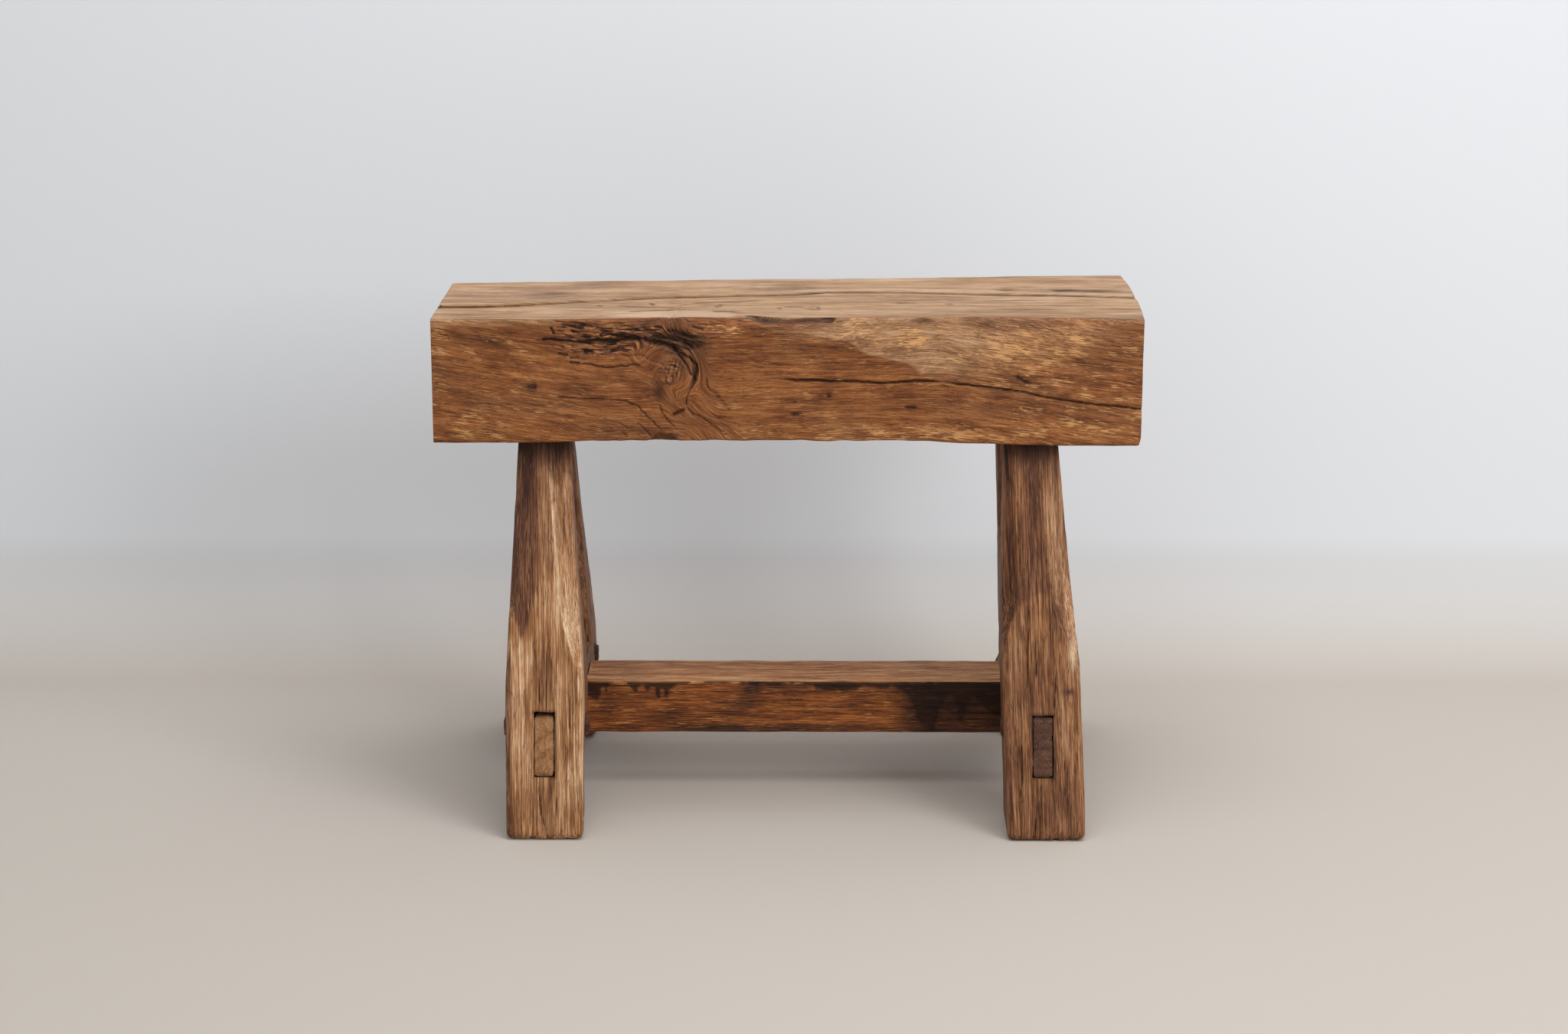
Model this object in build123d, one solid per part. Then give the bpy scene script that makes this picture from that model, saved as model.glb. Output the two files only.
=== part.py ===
from build123d import *
import os
from dataclasses import dataclass

# A stool hewn from reclaimed hardwood: one thick beam seat on two splayed pairs of legs.
# A rail ties each pair low down, and one long stretcher ties the two rails.
# Every joint is a mortise and tenon, and a wooden peg through each leg holds its rail.
# Millimetres. +X runs along the seat, the front faces -Y and the feet stand on Z = 0.
# The origin is on the floor, midway between the front and the back feet.

# Seat beam
seat_height = 436.0
seat_thickness = 107.0
seat_length = 600.0
seat_depth_left = 190.0
seat_depth_right = 236.0
seat_front_inset = 74.0
seat_end_bow = 3.0
seat_corner_radius = 10.0
seat_edge_radius = 3.0
facet_depth = 14.0
facet_height = 46.0
knot_hollow_radius = 36.0
knot_hollow_depth = 4.0
check_width = 1.4
check_depth = 14.0
gouge_inset = 9.5
gouge_width = 3.0
gouge_depth = 2.5

# Legs
foot_spread = 363.0
foot_width = 66.5
foot_depth = 66.0
foot_wear = 4.5
shoulder_depth = 48.0
shoulder_inset = 14.0
chamfer_start_height = 135.0
chamfer_full_height = 200.0
chamfer_size = 15.0
chamfer_top_size = 13.0
leg_tenon_width = 26.0
leg_tenon_depth = 28.0
leg_tenon_length = 62.0
front_left_end_inset = 91.5
front_right_end_inset = 92.0
back_left_end_inset = 83.0
back_right_end_inset = 92.0
front_left_foot_lean = -3.5
front_right_foot_lean = 12.5
back_left_foot_lean = -4.5
back_right_foot_lean = 31.0
front_left_knee_rise = 22.0
front_right_knee_rise = 42.0
back_left_knee_rise = 2.0
back_right_knee_rise = 2.0
front_left_shoulder_width = 43.5
front_right_shoulder_width = 46.5
back_left_shoulder_width = 45.0
back_right_shoulder_width = 45.0

# Rails between the front and the back leg of each pair
rail_bottom = 52.5
rail_height = 50.0
rail_width = 55.0
rail_tenon_width = 17.0
rail_tenon_recess = 0.8
left_mortise_slack = 3.0
right_mortise_slack = 1.0

# Long stretcher between the rails
stretcher_depth = 71.0
stretcher_bottom = 51.0
stretcher_height = 48.0
stretcher_tenon_depth = 44.0
stretcher_tenon_height = 24.0

# Pegs through the legs
peg_side = 15.0
front_peg_height = 85.0
back_peg_height = 79.5
peg_proud = 3.8
right_peg_inner_proud = 1.2
peg_flush_proud = 0.5

# Gap all round each tenon and peg, and how far a cutting body passes what it cuts
joint_clearance = 0.3
overrun = 12.0

# Places of the marks on the seat, as shares of its half length or of its thickness
facet_place_shares = (-0.06, 0.98)
knot_place_shares = (-0.42, 0.72)
front_check_shares = ((-0.02, 0.53), (0.36, 0.51), (0.53, 0.48), (0.72, 0.39), (1.0, 0.30))
top_check_shares = (
    (-1.0, 0.38),
    (-0.72, 0.37),
    (-0.55, 0.57),
    (-0.07, 0.64),
    (0.16, 0.69),
    (0.50, 0.64),
    (0.63, 0.57),
    (1.0, 0.52),
)
gouge_place_shares = (-0.10, 0.13)

shoulder_height = seat_height - seat_thickness
seat_front_y = seat_front_inset - foot_spread / 2
rail_top = rail_bottom + rail_height
half_length = seat_length / 2


def mix(low, high, share):
    """The value a share of the way from low to high."""
    return low + (high - low) * share


def seat_back_y(x):
    """Back edge of the seat, which runs straight from the left corner to the right one."""
    share = (x + half_length) / seat_length
    return seat_front_y + mix(seat_depth_left, seat_depth_right, share)


@dataclass
class Leg:
    """One leg. Its outer face runs straight from foot to shoulder, and it slims above the knee.

    side and out are -1 for left and for front. The shoulder stands end_inset from the seat's end,
    the foot is foot_lean further out, and the knee is knee_rise above the rail's top.
    """

    side: int
    out: int
    end_inset: float
    foot_lean: float
    knee_rise: float
    shoulder_width: float

    @property
    def knee_height(self):
        return rail_top + self.knee_rise

    @property
    def shoulder_x(self):
        return self.side * (half_length - self.end_inset)

    @property
    def foot_x(self):
        return self.shoulder_x + self.side * self.foot_lean

    @property
    def foot_y(self):
        return self.out * foot_spread / 2

    @property
    def shoulder_y(self):
        edge = seat_front_y if self.out < 0 else seat_back_y(self.shoulder_x)
        return edge - self.out * shoulder_inset

    def slimming(self, z):
        return max((z - self.knee_height) / (shoulder_height - self.knee_height), 0)

    def width(self, z):
        return mix(foot_width, self.shoulder_width, self.slimming(z))

    def depth(self, z):
        return mix(foot_depth, shoulder_depth, self.slimming(z))

    def centre_x(self, z):
        return mix(self.foot_x, self.shoulder_x, z / shoulder_height)

    def outer_y(self, z):
        return mix(self.foot_y, self.shoulder_y, z / shoulder_height)

    def inner_y(self, z):
        return self.outer_y(z) - self.out * self.depth(z)

    def centre_y(self, z):
        return (self.outer_y(z) + self.inner_y(z)) / 2

    def tenon_y(self, z):
        """Middle of the top tenon, which leans as the outer face does."""
        return self.outer_y(z) - self.out * shoulder_depth / 2

    def section(self, z):
        return Pos(self.centre_x(z), self.centre_y(z), z) * Rectangle(self.width(z), self.depth(z))


legs = {
    "front_left": Leg(
        -1, -1, front_left_end_inset, front_left_foot_lean, front_left_knee_rise, front_left_shoulder_width
    ),
    "front_right": Leg(
        1, -1, front_right_end_inset, front_right_foot_lean, front_right_knee_rise, front_right_shoulder_width
    ),
    "back_left": Leg(
        -1, 1, back_left_end_inset, back_left_foot_lean, back_left_knee_rise, back_left_shoulder_width
    ),
    "back_right": Leg(
        1, 1, back_right_end_inset, back_right_foot_lean, back_right_knee_rise, back_right_shoulder_width
    ),
}


@dataclass
class Rail:
    """One rail, with the legs that it ties and the room above its tenons."""

    front: Leg
    back: Leg
    slack: float

    @property
    def x(self):
        """The rail is in line with the middle of the front leg."""
        return self.front.centre_x(rail_bottom + rail_height / 2)


rails = {
    "left": Rail(legs["front_left"], legs["back_left"], left_mortise_slack),
    "right": Rail(legs["front_right"], legs["back_right"], right_mortise_slack),
}


def block(x_low, x_high, y_low, y_high, z_low, z_high):
    """A box between two limits on each axis."""
    centre = Pos((x_low + x_high) / 2, (y_low + y_high) / 2, (z_low + z_high) / 2)
    return centre * Box(x_high - x_low, y_high - y_low, z_high - z_low)


def top_tenon(leg, z_low, z_high, clearance):
    """The blind tenon at the leg's top, or with a clearance the mortise that takes it."""
    size = Rectangle(leg_tenon_width + 2 * clearance, leg_tenon_depth + 2 * clearance)
    low = Pos(leg.centre_x(z_low), leg.tenon_y(z_low), z_low) * size
    high = Pos(leg.centre_x(z_high), leg.tenon_y(z_high), z_high) * size
    return loft([low, high], ruled=True)


def peg_block(leg, z, x_low, x_high, clearance):
    """A square peg across the leg at height z, or with a clearance the hole for it."""
    half = peg_side / 2 + clearance
    y = leg.centre_y(z)
    return block(x_low, x_high, y - half, y + half, z - half, z + half)


def peg_height(leg):
    return front_peg_height if leg.out < 0 else back_peg_height


def rail_mortise(leg, rail):
    """The slot through a leg for its rail's tenon, with the slack above the tenon."""
    half = rail_tenon_width / 2 + joint_clearance
    reach = foot_depth + overrun
    y_low = leg.centre_y(rail_bottom) - reach
    y_high = leg.centre_y(rail_bottom) + reach
    z_low = rail_bottom - joint_clearance
    return block(rail.x - half, rail.x + half, y_low, y_high, z_low, rail_top + rail.slack)


def leg_chamfer(leg, across, along):
    """The stopped chamfer on one arris: a bar of triangles, thin at its foot."""

    def triangle(z, size):
        x = leg.centre_x(z) + across * leg.width(z) / 2
        y = leg.centre_y(z) + along * leg.depth(z) / 2
        inward = size + overrun
        first = (x - across * inward, y + along * overrun, z)
        second = (x + across * overrun, y - along * inward, z)
        outside = (x + across * overrun, y + along * overrun, z)
        return make_face(Polyline(first, second, outside, close=True))

    low = triangle(chamfer_start_height, 0)
    full = triangle(chamfer_full_height, chamfer_size)
    top = triangle(shoulder_height, chamfer_top_size)
    return loft([low, full], ruled=True) + loft([full, top], ruled=True)


def make_leg(leg, rail):
    """A squared post with worn foot edges, slimmed and chamfered above the knee."""
    lower = loft([leg.section(0), leg.section(leg.knee_height)], ruled=True)
    upper = loft([leg.section(leg.knee_height), leg.section(shoulder_height)], ruled=True)
    lower = chamfer(lower.faces().sort_by(Axis.Z)[0].edges(), foot_wear)
    post = lower + upper
    for across in (-1, 1):
        for along in (-1, 1):
            post -= leg_chamfer(leg, across, along)
    post += top_tenon(leg, shoulder_height, shoulder_height + leg_tenon_length, 0)
    post -= rail_mortise(leg, rail)
    z = peg_height(leg)
    reach = foot_width + overrun
    return post - peg_block(leg, z, leg.centre_x(z) - reach, leg.centre_x(z) + reach, joint_clearance)


def rail_bar(rail, width, front_y, back_y):
    """A bar of the rail's height whose two ends follow the leaning faces given."""
    outline = [
        (front_y(rail_bottom), rail_bottom),
        (back_y(rail_bottom), rail_bottom),
        (back_y(rail_top), rail_top),
        (front_y(rail_top), rail_top),
    ]
    profile = Plane.YZ.offset(rail.x) * make_face(Polyline(*outline, close=True))
    return extrude(profile, amount=width / 2, both=True)


def make_rail(rail):
    """The body stands against both legs, and its thin tenons run through them."""
    body = rail_bar(rail, rail_width, rail.front.inner_y, rail.back.inner_y)
    tenons = rail_bar(
        rail,
        rail_tenon_width,
        lambda z: rail.front.outer_y(z) + rail_tenon_recess,
        lambda z: rail.back.outer_y(z) - rail_tenon_recess,
    )
    bar = body + tenons
    for leg in (rail.front, rail.back):
        z = peg_height(leg)
        bar -= peg_block(leg, z, rail.x - rail_width, rail.x + rail_width, joint_clearance)
    reach = rail_width / 2 + overrun
    return bar - stretcher_tenon(rail.x - reach, rail.x + reach, joint_clearance)


def stretcher_tenon(x_low, x_high, clearance):
    """The stretcher's tenon, or with a clearance the mortise through a rail."""
    half_depth = stretcher_tenon_depth / 2 + clearance
    half_height = stretcher_tenon_height / 2 + clearance
    z = stretcher_bottom + stretcher_height / 2
    return block(x_low, x_high, -half_depth, half_depth, z - half_height, z + half_height)


def make_stretcher():
    """A bar between the inner faces of the rails, with a tenon through each rail."""
    half_rail = rail_width / 2
    left_x, right_x = rails["left"].x, rails["right"].x
    x_low = left_x + half_rail
    x_high = right_x - half_rail
    z_high = stretcher_bottom + stretcher_height
    bar = block(x_low, x_high, -stretcher_depth / 2, stretcher_depth / 2, stretcher_bottom, z_high)
    return bar + stretcher_tenon(left_x - half_rail, right_x + half_rail, 0)


def make_peg(leg):
    """A square peg, proud of the leg, but barely so inside the right pair and flush outside its front leg."""
    z = peg_height(leg)
    half = leg.width(z) / 2
    outer_proud = peg_flush_proud if leg is legs["front_right"] else peg_proud
    low_proud, high_proud = (outer_proud, peg_proud) if leg.side < 0 else (right_peg_inner_proud, outer_proud)
    return peg_block(leg, z, leg.centre_x(z) - half - low_proud, leg.centre_x(z) + half + high_proud, 0)


def seat_blank():
    """The beam: straight front, slanting back, a bowed right end and softened edges."""
    back_left = (-half_length, seat_back_y(-half_length))
    back_right = (half_length, seat_back_y(half_length))
    front_left = (-half_length, seat_front_y)
    front_right = (half_length, seat_front_y)
    bow = (half_length + seat_end_bow, (seat_front_y + seat_back_y(half_length)) / 2)
    ends = [
        Polyline(back_right, back_left, front_left, front_right),
        ThreePointArc(front_right, bow, back_right),
    ]
    blank = extrude(Pos(0, 0, shoulder_height) * make_face(ends), amount=seat_thickness)
    upright = blank.edges().filter_by(Axis.Z)
    blank = fillet(upright.sort_by(Axis.Y)[-2:], seat_corner_radius)
    upright = blank.edges().filter_by(Axis.Z)
    blank = fillet(upright.sort_by(Axis.Y)[:2], seat_edge_radius)
    rims = blank.edges().group_by(Axis.Z)
    return fillet(rims[0] + rims[-1], seat_edge_radius)


def hewn_facet():
    """A hollow adze cut along the upper front arris, by a large cylinder that leans back."""
    x_low, x_high = (share * half_length for share in facet_place_shares)
    slope = Vector(0, facet_depth, facet_height).normalized()
    inward = Vector(0, slope.Z, -slope.Y)
    sagitta = facet_depth * slope.Z
    radius = (((x_high - x_low) / 2) ** 2 + sagitta**2) / (2 * sagitta)
    deepest = Vector((x_low + x_high) / 2, seat_front_y + facet_depth, seat_height)
    plane = Plane(origin=deepest - inward * radius, x_dir=(1, 0, 0), z_dir=slope)
    return plane * Cylinder(radius, 2 * (facet_height + overrun))


def knot_hollow():
    """A shallow dish where the grain runs round a fallen branch, cut by a large sphere."""
    radius = (knot_hollow_radius**2 + knot_hollow_depth**2) / (2 * knot_hollow_depth)
    x = knot_place_shares[0] * half_length
    z = mix(shoulder_height, seat_height, knot_place_shares[1])
    return Pos(x, seat_front_y + knot_hollow_depth - radius, z) * Sphere(radius)


def check_outline(points):
    """A drying crack: full width inside, and running out to nothing at its first point."""
    upper = [(x, y + check_width / 2) for x, y in points[1:]]
    lower = [(x, y - check_width / 2) for x, y in reversed(points[1:])]
    return make_face(Polyline(points[0], *upper, *lower, close=True))


def front_check():
    """The long check in the front face, which runs to the right end."""
    points = [(s * half_length, mix(shoulder_height, seat_height, t)) for s, t in front_check_shares]
    points.append((half_length + overrun, points[-1][1]))
    plane = Plane(origin=(0, seat_front_y + check_depth, 0), x_dir=(1, 0, 0), z_dir=(0, -1, 0))
    return extrude(plane * check_outline(points), amount=check_depth + overrun)


def top_check():
    """The check along the top, from one end of the seat to the other."""
    points = [
        (s * half_length, mix(seat_front_y, seat_back_y(s * half_length), t)) for s, t in top_check_shares
    ]
    points.append((half_length + overrun, points[-1][1]))
    points.insert(0, (-half_length - overrun, points[0][1]))
    return extrude(Pos(0, 0, seat_height - check_depth) * check_outline(points), amount=check_depth + overrun)


def gouge():
    """A short chisel groove just behind the front arris."""
    x_low, x_high = (share * half_length for share in gouge_place_shares)
    y_low = seat_front_y + gouge_inset
    return block(x_low, x_high, y_low, y_low + gouge_width, seat_height - gouge_depth, seat_height + overrun)


def make_seat():
    """The blank with its hewn facet, knot, checks and gouge, and four blind mortises below."""
    seat = seat_blank()
    for cut in (hewn_facet(), knot_hollow(), front_check(), top_check(), gouge()):
        seat -= cut
    mortise_top = shoulder_height + leg_tenon_length + joint_clearance
    for leg in legs.values():
        seat -= top_tenon(leg, shoulder_height - overrun, mortise_top, joint_clearance)
    return seat


def build_parts():
    """Every piece of the stool, by node name."""
    parts = {"seat_beam": make_seat(), "long_stretcher": make_stretcher()}
    for side, rail in rails.items():
        parts[f"side_rail_{side}"] = make_rail(rail)
        for place, leg in (("front", rail.front), ("back", rail.back)):
            parts[f"leg_{place}_{side}"] = make_leg(leg, rail)
            parts[f"peg_{place}_{side}"] = make_peg(leg)
    return parts


os.makedirs("parts", exist_ok=True)
for node, piece in build_parts().items():
    export_step(piece, f"parts/{node}.step")
    size = piece.bounding_box().size
    print(f"{node}: {len(piece.solids())} solid, {size.X:.1f} x {size.Y:.1f} x {size.Z:.1f} mm")
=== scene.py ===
import math
import bpy
import numpy as np
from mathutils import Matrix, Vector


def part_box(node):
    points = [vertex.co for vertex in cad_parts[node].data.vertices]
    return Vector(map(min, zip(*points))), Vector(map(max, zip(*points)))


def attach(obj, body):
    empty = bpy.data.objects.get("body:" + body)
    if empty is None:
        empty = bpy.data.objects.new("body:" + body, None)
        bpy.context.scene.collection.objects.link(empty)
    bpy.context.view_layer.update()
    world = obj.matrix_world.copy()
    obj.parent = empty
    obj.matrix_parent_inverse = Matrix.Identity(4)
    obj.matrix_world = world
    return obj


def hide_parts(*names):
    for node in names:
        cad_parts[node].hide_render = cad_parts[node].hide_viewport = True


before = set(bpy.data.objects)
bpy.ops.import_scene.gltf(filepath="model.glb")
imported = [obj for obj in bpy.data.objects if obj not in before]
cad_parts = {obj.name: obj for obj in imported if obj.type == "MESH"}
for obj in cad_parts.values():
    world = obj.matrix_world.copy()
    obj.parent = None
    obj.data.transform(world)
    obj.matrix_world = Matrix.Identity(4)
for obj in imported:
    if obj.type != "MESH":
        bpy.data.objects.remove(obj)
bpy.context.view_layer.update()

# Long stretcher
# A squared bar of dark hardwood between the two side rails, 71 mm deep and 48 mm high. It was sawn,
# planed and waxed. A tenon at each end runs through its rail, and water has left black stains down it.


def pigment(red, green, blue):
    """A colour as read on a screen, 0 to 255, in linear light: ((c + 0.055) / 1.055) to the power 2.4."""
    return tuple(((c / 255 + 0.055) / 1.055) ** 2.4 for c in (red, green, blue)) + (1.0,)


def held(value):
    """The value kept between 0 and 1."""
    return np.clip(value, 0, 1)


def rise(low, high, value):
    """A smooth step: 0 below low, 1 above high, and 3tt - 2ttt between, where t is the share of the way."""
    share = held((value - low) / (high - low))
    return share * share * (3 - 2 * share)


def window(value, start, full, fade, stop):
    """A soft window: 0 up to start, 1 from full to fade, and 0 again from stop."""
    return rise(start, full, value) * rise(stop, fade, value)


def bell(distance, width):
    """A soft bump: e to the power -(distance / width)^2."""
    return np.exp(-((distance / width) ** 2))


def patches(x, z, *ovals):
    """Soft ovals added up, each given as its strength, middle x, middle z, reach x and reach z.

    Places and reaches are in mm. An oval adds strength . e to the power -(dx/reach)^2 - (dz/reach)^2.
    """
    total = 0
    for strength, middle_x, middle_z, reach_x, reach_z in ovals:
        total = total + strength * bell(1000 * x - middle_x, reach_x) * bell(1000 * z - middle_z, reach_z)
    return total


def line_at(place, path):
    """The height of a broken line at a place. The path holds its places and heights in turn, in mm."""
    return np.interp(place, *(np.reshape(path, (-1, 2)).T / 1000))


def noise(seed, x, y, z=0.0):
    """Seeded noise from -1 to 1: random values at whole-number places, with smooth steps between them."""
    table = np.random.default_rng(seed).uniform(-1, 1, (32, 32, 32))
    places = np.broadcast_arrays(x, y, z)
    whole = [np.floor(place).astype(int) for place in places]
    share = [rise(0, 1, place - floor) for place, floor in zip(places, whole)]
    total = 0
    for turns in np.ndindex(2, 2, 2):
        weight = 1
        for turn, part in zip(turns, share):
            weight = weight * (part if turn else 1 - part)
        i, j, k = ((floor + turn) % 32 for floor, turn in zip(whole, turns))
        total = total + weight * table[i, j, k]
    return total


def section(a_low, a_high, b_low, b_high, cuts):
    """Eight corners of a rectangle with its arrises cut off, anticlockwise from the start of the low b side.

    cuts holds a size for each arris: low a low b, high a low b, high a high b, low a high b.
    """
    first, second, third, fourth = cuts
    a = [a_low + first, a_high - second, a_high, a_high, a_high - third, a_low + fourth, a_low, a_low]
    b = [b_low, b_low, b_low + second, b_high - third, b_high, b_high, b_high - fourth, b_low + first]
    evened = np.broadcast_arrays(*a, *b)
    return np.stack([np.stack(evened[:8], -1), np.stack(evened[8:], -1)], -1)


def stacked(flat, places, axis):
    """The corners of the sections in space: each section's place goes in as this axis."""
    corners = np.insert(flat, axis, 0, axis=2)
    corners[..., axis] = places[:, None]
    return corners


def spread(count, edge):
    """Shares along one side: close together within edge of both corners, and count even ones between."""
    near = np.array([0, edge / 3, 2 * edge / 3])
    return np.concatenate([near, np.linspace(edge, 1 - edge, count), 1 - near[:0:-1]])


def wrap(corners, shares, radius):
    """Points round each ring, along every side from one corner to the next, with the corners rounded.

    Within the radius r of a corner a point moves to corner + r ((1-t)^2 own + t^2 other), where own and
    other point away along the two sides that meet there, and t runs from 0 at r to a half at the corner.
    """
    ahead = np.roll(corners, -1, 1) - corners
    length = np.linalg.norm(ahead, axis=2)
    along = ahead / length[..., None]
    radius = np.minimum(radius, 0.48 * np.minimum(length, np.roll(length, 1, 1)))
    sides = []
    for k, share in enumerate(shares):
        after = (k + 1) % len(shares)
        run = share * length[:, k, None]
        rest = length[:, k, None] - run
        flat = corners[:, k, None] + run[..., None] * along[:, k, None]
        meetings = (
            (run, corners[:, k], along[:, k], -along[:, k - 1], radius[:, k]),
            (rest, corners[:, after], -along[:, k], along[:, after], radius[:, after]),
        )
        for distance, corner, own, other, reach in meetings:
            t = np.clip(0.5 * (1 - distance / reach[:, None]), 0, 0.5)[..., None]
            bend = (1 - t) ** 2 * own[:, None] + t**2 * other[:, None]
            flat = np.where(t > 0, corner[:, None] + reach[:, None, None] * bend, flat)
        sides.append(flat)
    return np.concatenate(sides, 1)


def capped(points, crown, steps=10):
    """Adds rings that close each end: the end ring drawn in to its middle by equal steps, and crowned."""
    for end in (0, -1):
        ring = points[end]
        middle = ring.mean(0)
        inward = points[1 if end == 0 else -2].mean(0) - middle
        inward = inward / np.linalg.norm(inward)
        share = np.linspace(1, 0, steps, endpoint=False)[1:, None, None]
        cap = middle + (ring - middle) * share - inward * crown * (1 - share**2)
        points = np.concatenate([cap[::-1], points] if end == 0 else [points, cap])
    return points


def outward(points):
    """Unit normals of the rings: the step round a ring crossed with the step along the bar."""
    around = np.roll(points, -1, 1) - np.roll(points, 1, 1)
    along = np.gradient(points, axis=0)
    normal = np.cross(around, along)
    normal = normal / np.maximum(np.linalg.norm(normal, axis=2, keepdims=True), 1e-12)
    away = points - points.mean(1, keepdims=True)
    return normal * np.sign((normal * away).sum())


def solid(name, points, material, **features):
    """A closed mesh over the rings: four-cornered faces between them, and a fan to one point at each end.

    The sum of each triangle's corner . (corner x corner) is six times the volume, and its sign turns the
    faces outwards. features are attributes of three numbers for each point, which the material reads.
    """
    rows, columns = points.shape[:2]
    index = np.arange(rows * columns).reshape(rows, columns)
    beside = np.roll(index, -1, 1)
    quads = np.stack([index[:-1], beside[:-1], beside[1:], index[1:]], -1).reshape(-1, 4)
    poles = rows * columns + np.arange(2)
    fans = [np.stack([index[0], np.full(columns, poles[0]), beside[0]], -1)]
    fans.append(np.stack([index[-1], beside[-1], np.full(columns, poles[1])], -1))
    spots = np.concatenate([points.reshape(-1, 3), points[[0, -1]].mean(1)])
    triangles = np.concatenate([quads[:, :3], quads[:, [0, 2, 3]], *fans])
    first, second, third = (spots[triangles[:, i]] for i in range(3))
    order = 1 if (first * np.cross(second, third)).sum() > 0 else -1
    faces = [side[:, ::order].tolist() for side in (quads, *fans)]
    mesh = bpy.data.meshes.new(name)
    mesh.from_pydata(spots.tolist(), [], faces[0] + faces[1] + faces[2])
    mesh.shade_smooth()
    mesh.set_sharp_from_angle(angle=math.radians(55))
    for feature, values in features.items():
        values = np.broadcast_to(np.stack(np.broadcast_arrays(*values), -1), points.shape)
        values = np.concatenate([values.reshape(-1, 3), values[[0, -1]].mean(1)])
        layer = mesh.attributes.new(feature, "FLOAT_VECTOR", "POINT")
        layer.data.foreach_set("vector", values.astype(np.float32).ravel())
    mesh.materials.append(material)
    piece = bpy.data.objects.new(name, mesh)
    bpy.context.scene.collection.objects.link(piece)
    return piece


class Wire:
    """One socket of a material's nodes. A sign between wires and numbers adds its Math node."""

    def __init__(self, tree, socket=None):
        self.tree = tree
        self.socket = socket

    def node(self, kind, settings, inputs, output=0):
        """A new node: its settings first, a ramp's stops among them, then its sockets set or linked."""
        made = self.tree.nodes.new(kind)
        for name, value in settings.items():
            if name == "stops":
                while len(made.color_ramp.elements) < len(value):
                    made.color_ramp.elements.new(0.5)
                for element, (place, colour) in zip(made.color_ramp.elements, value):
                    element.position = place
                    element.color = colour
            else:
                setattr(made, name, value)
        for name, value in inputs.items():
            if isinstance(value, Wire):
                self.tree.links.new(value.socket, made.inputs[name])
            else:
                made.inputs[name].default_value = value
        return Wire(self.tree, made.outputs[output]) if made.outputs else None

    def other(self, output):
        """Another output of the node that this wire leaves."""
        return Wire(self.tree, self.socket.node.outputs[output])

    def sum(self, operation, first, second, clamp=False):
        settings = {"operation": operation, "use_clamp": clamp}
        return self.node("ShaderNodeMath", settings, {0: first, 1: second})

    def __add__(self, other):
        return self.sum("ADD", self, other)

    def __sub__(self, other):
        return self.sum("SUBTRACT", self, other)

    def __rsub__(self, other):
        return self.sum("SUBTRACT", other, self)

    def __mul__(self, other):
        return self.sum("MULTIPLY", self, other)

    __radd__ = __add__
    __rmul__ = __mul__

    def held(self):
        """The value kept between 0 and 1."""
        return self.sum("ADD", self, 0.0, clamp=True)

    def size(self):
        """The value without its sign."""
        return self.sum("ABSOLUTE", self, 0.0)

    def blend(self, first, second):
        """A colour this far of the way from the first to the second."""
        inputs = {0: self, 6: first, 7: second}
        return self.node("ShaderNodeMix", {"data_type": "RGBA", "clamp_factor": True}, inputs, 2)


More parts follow.
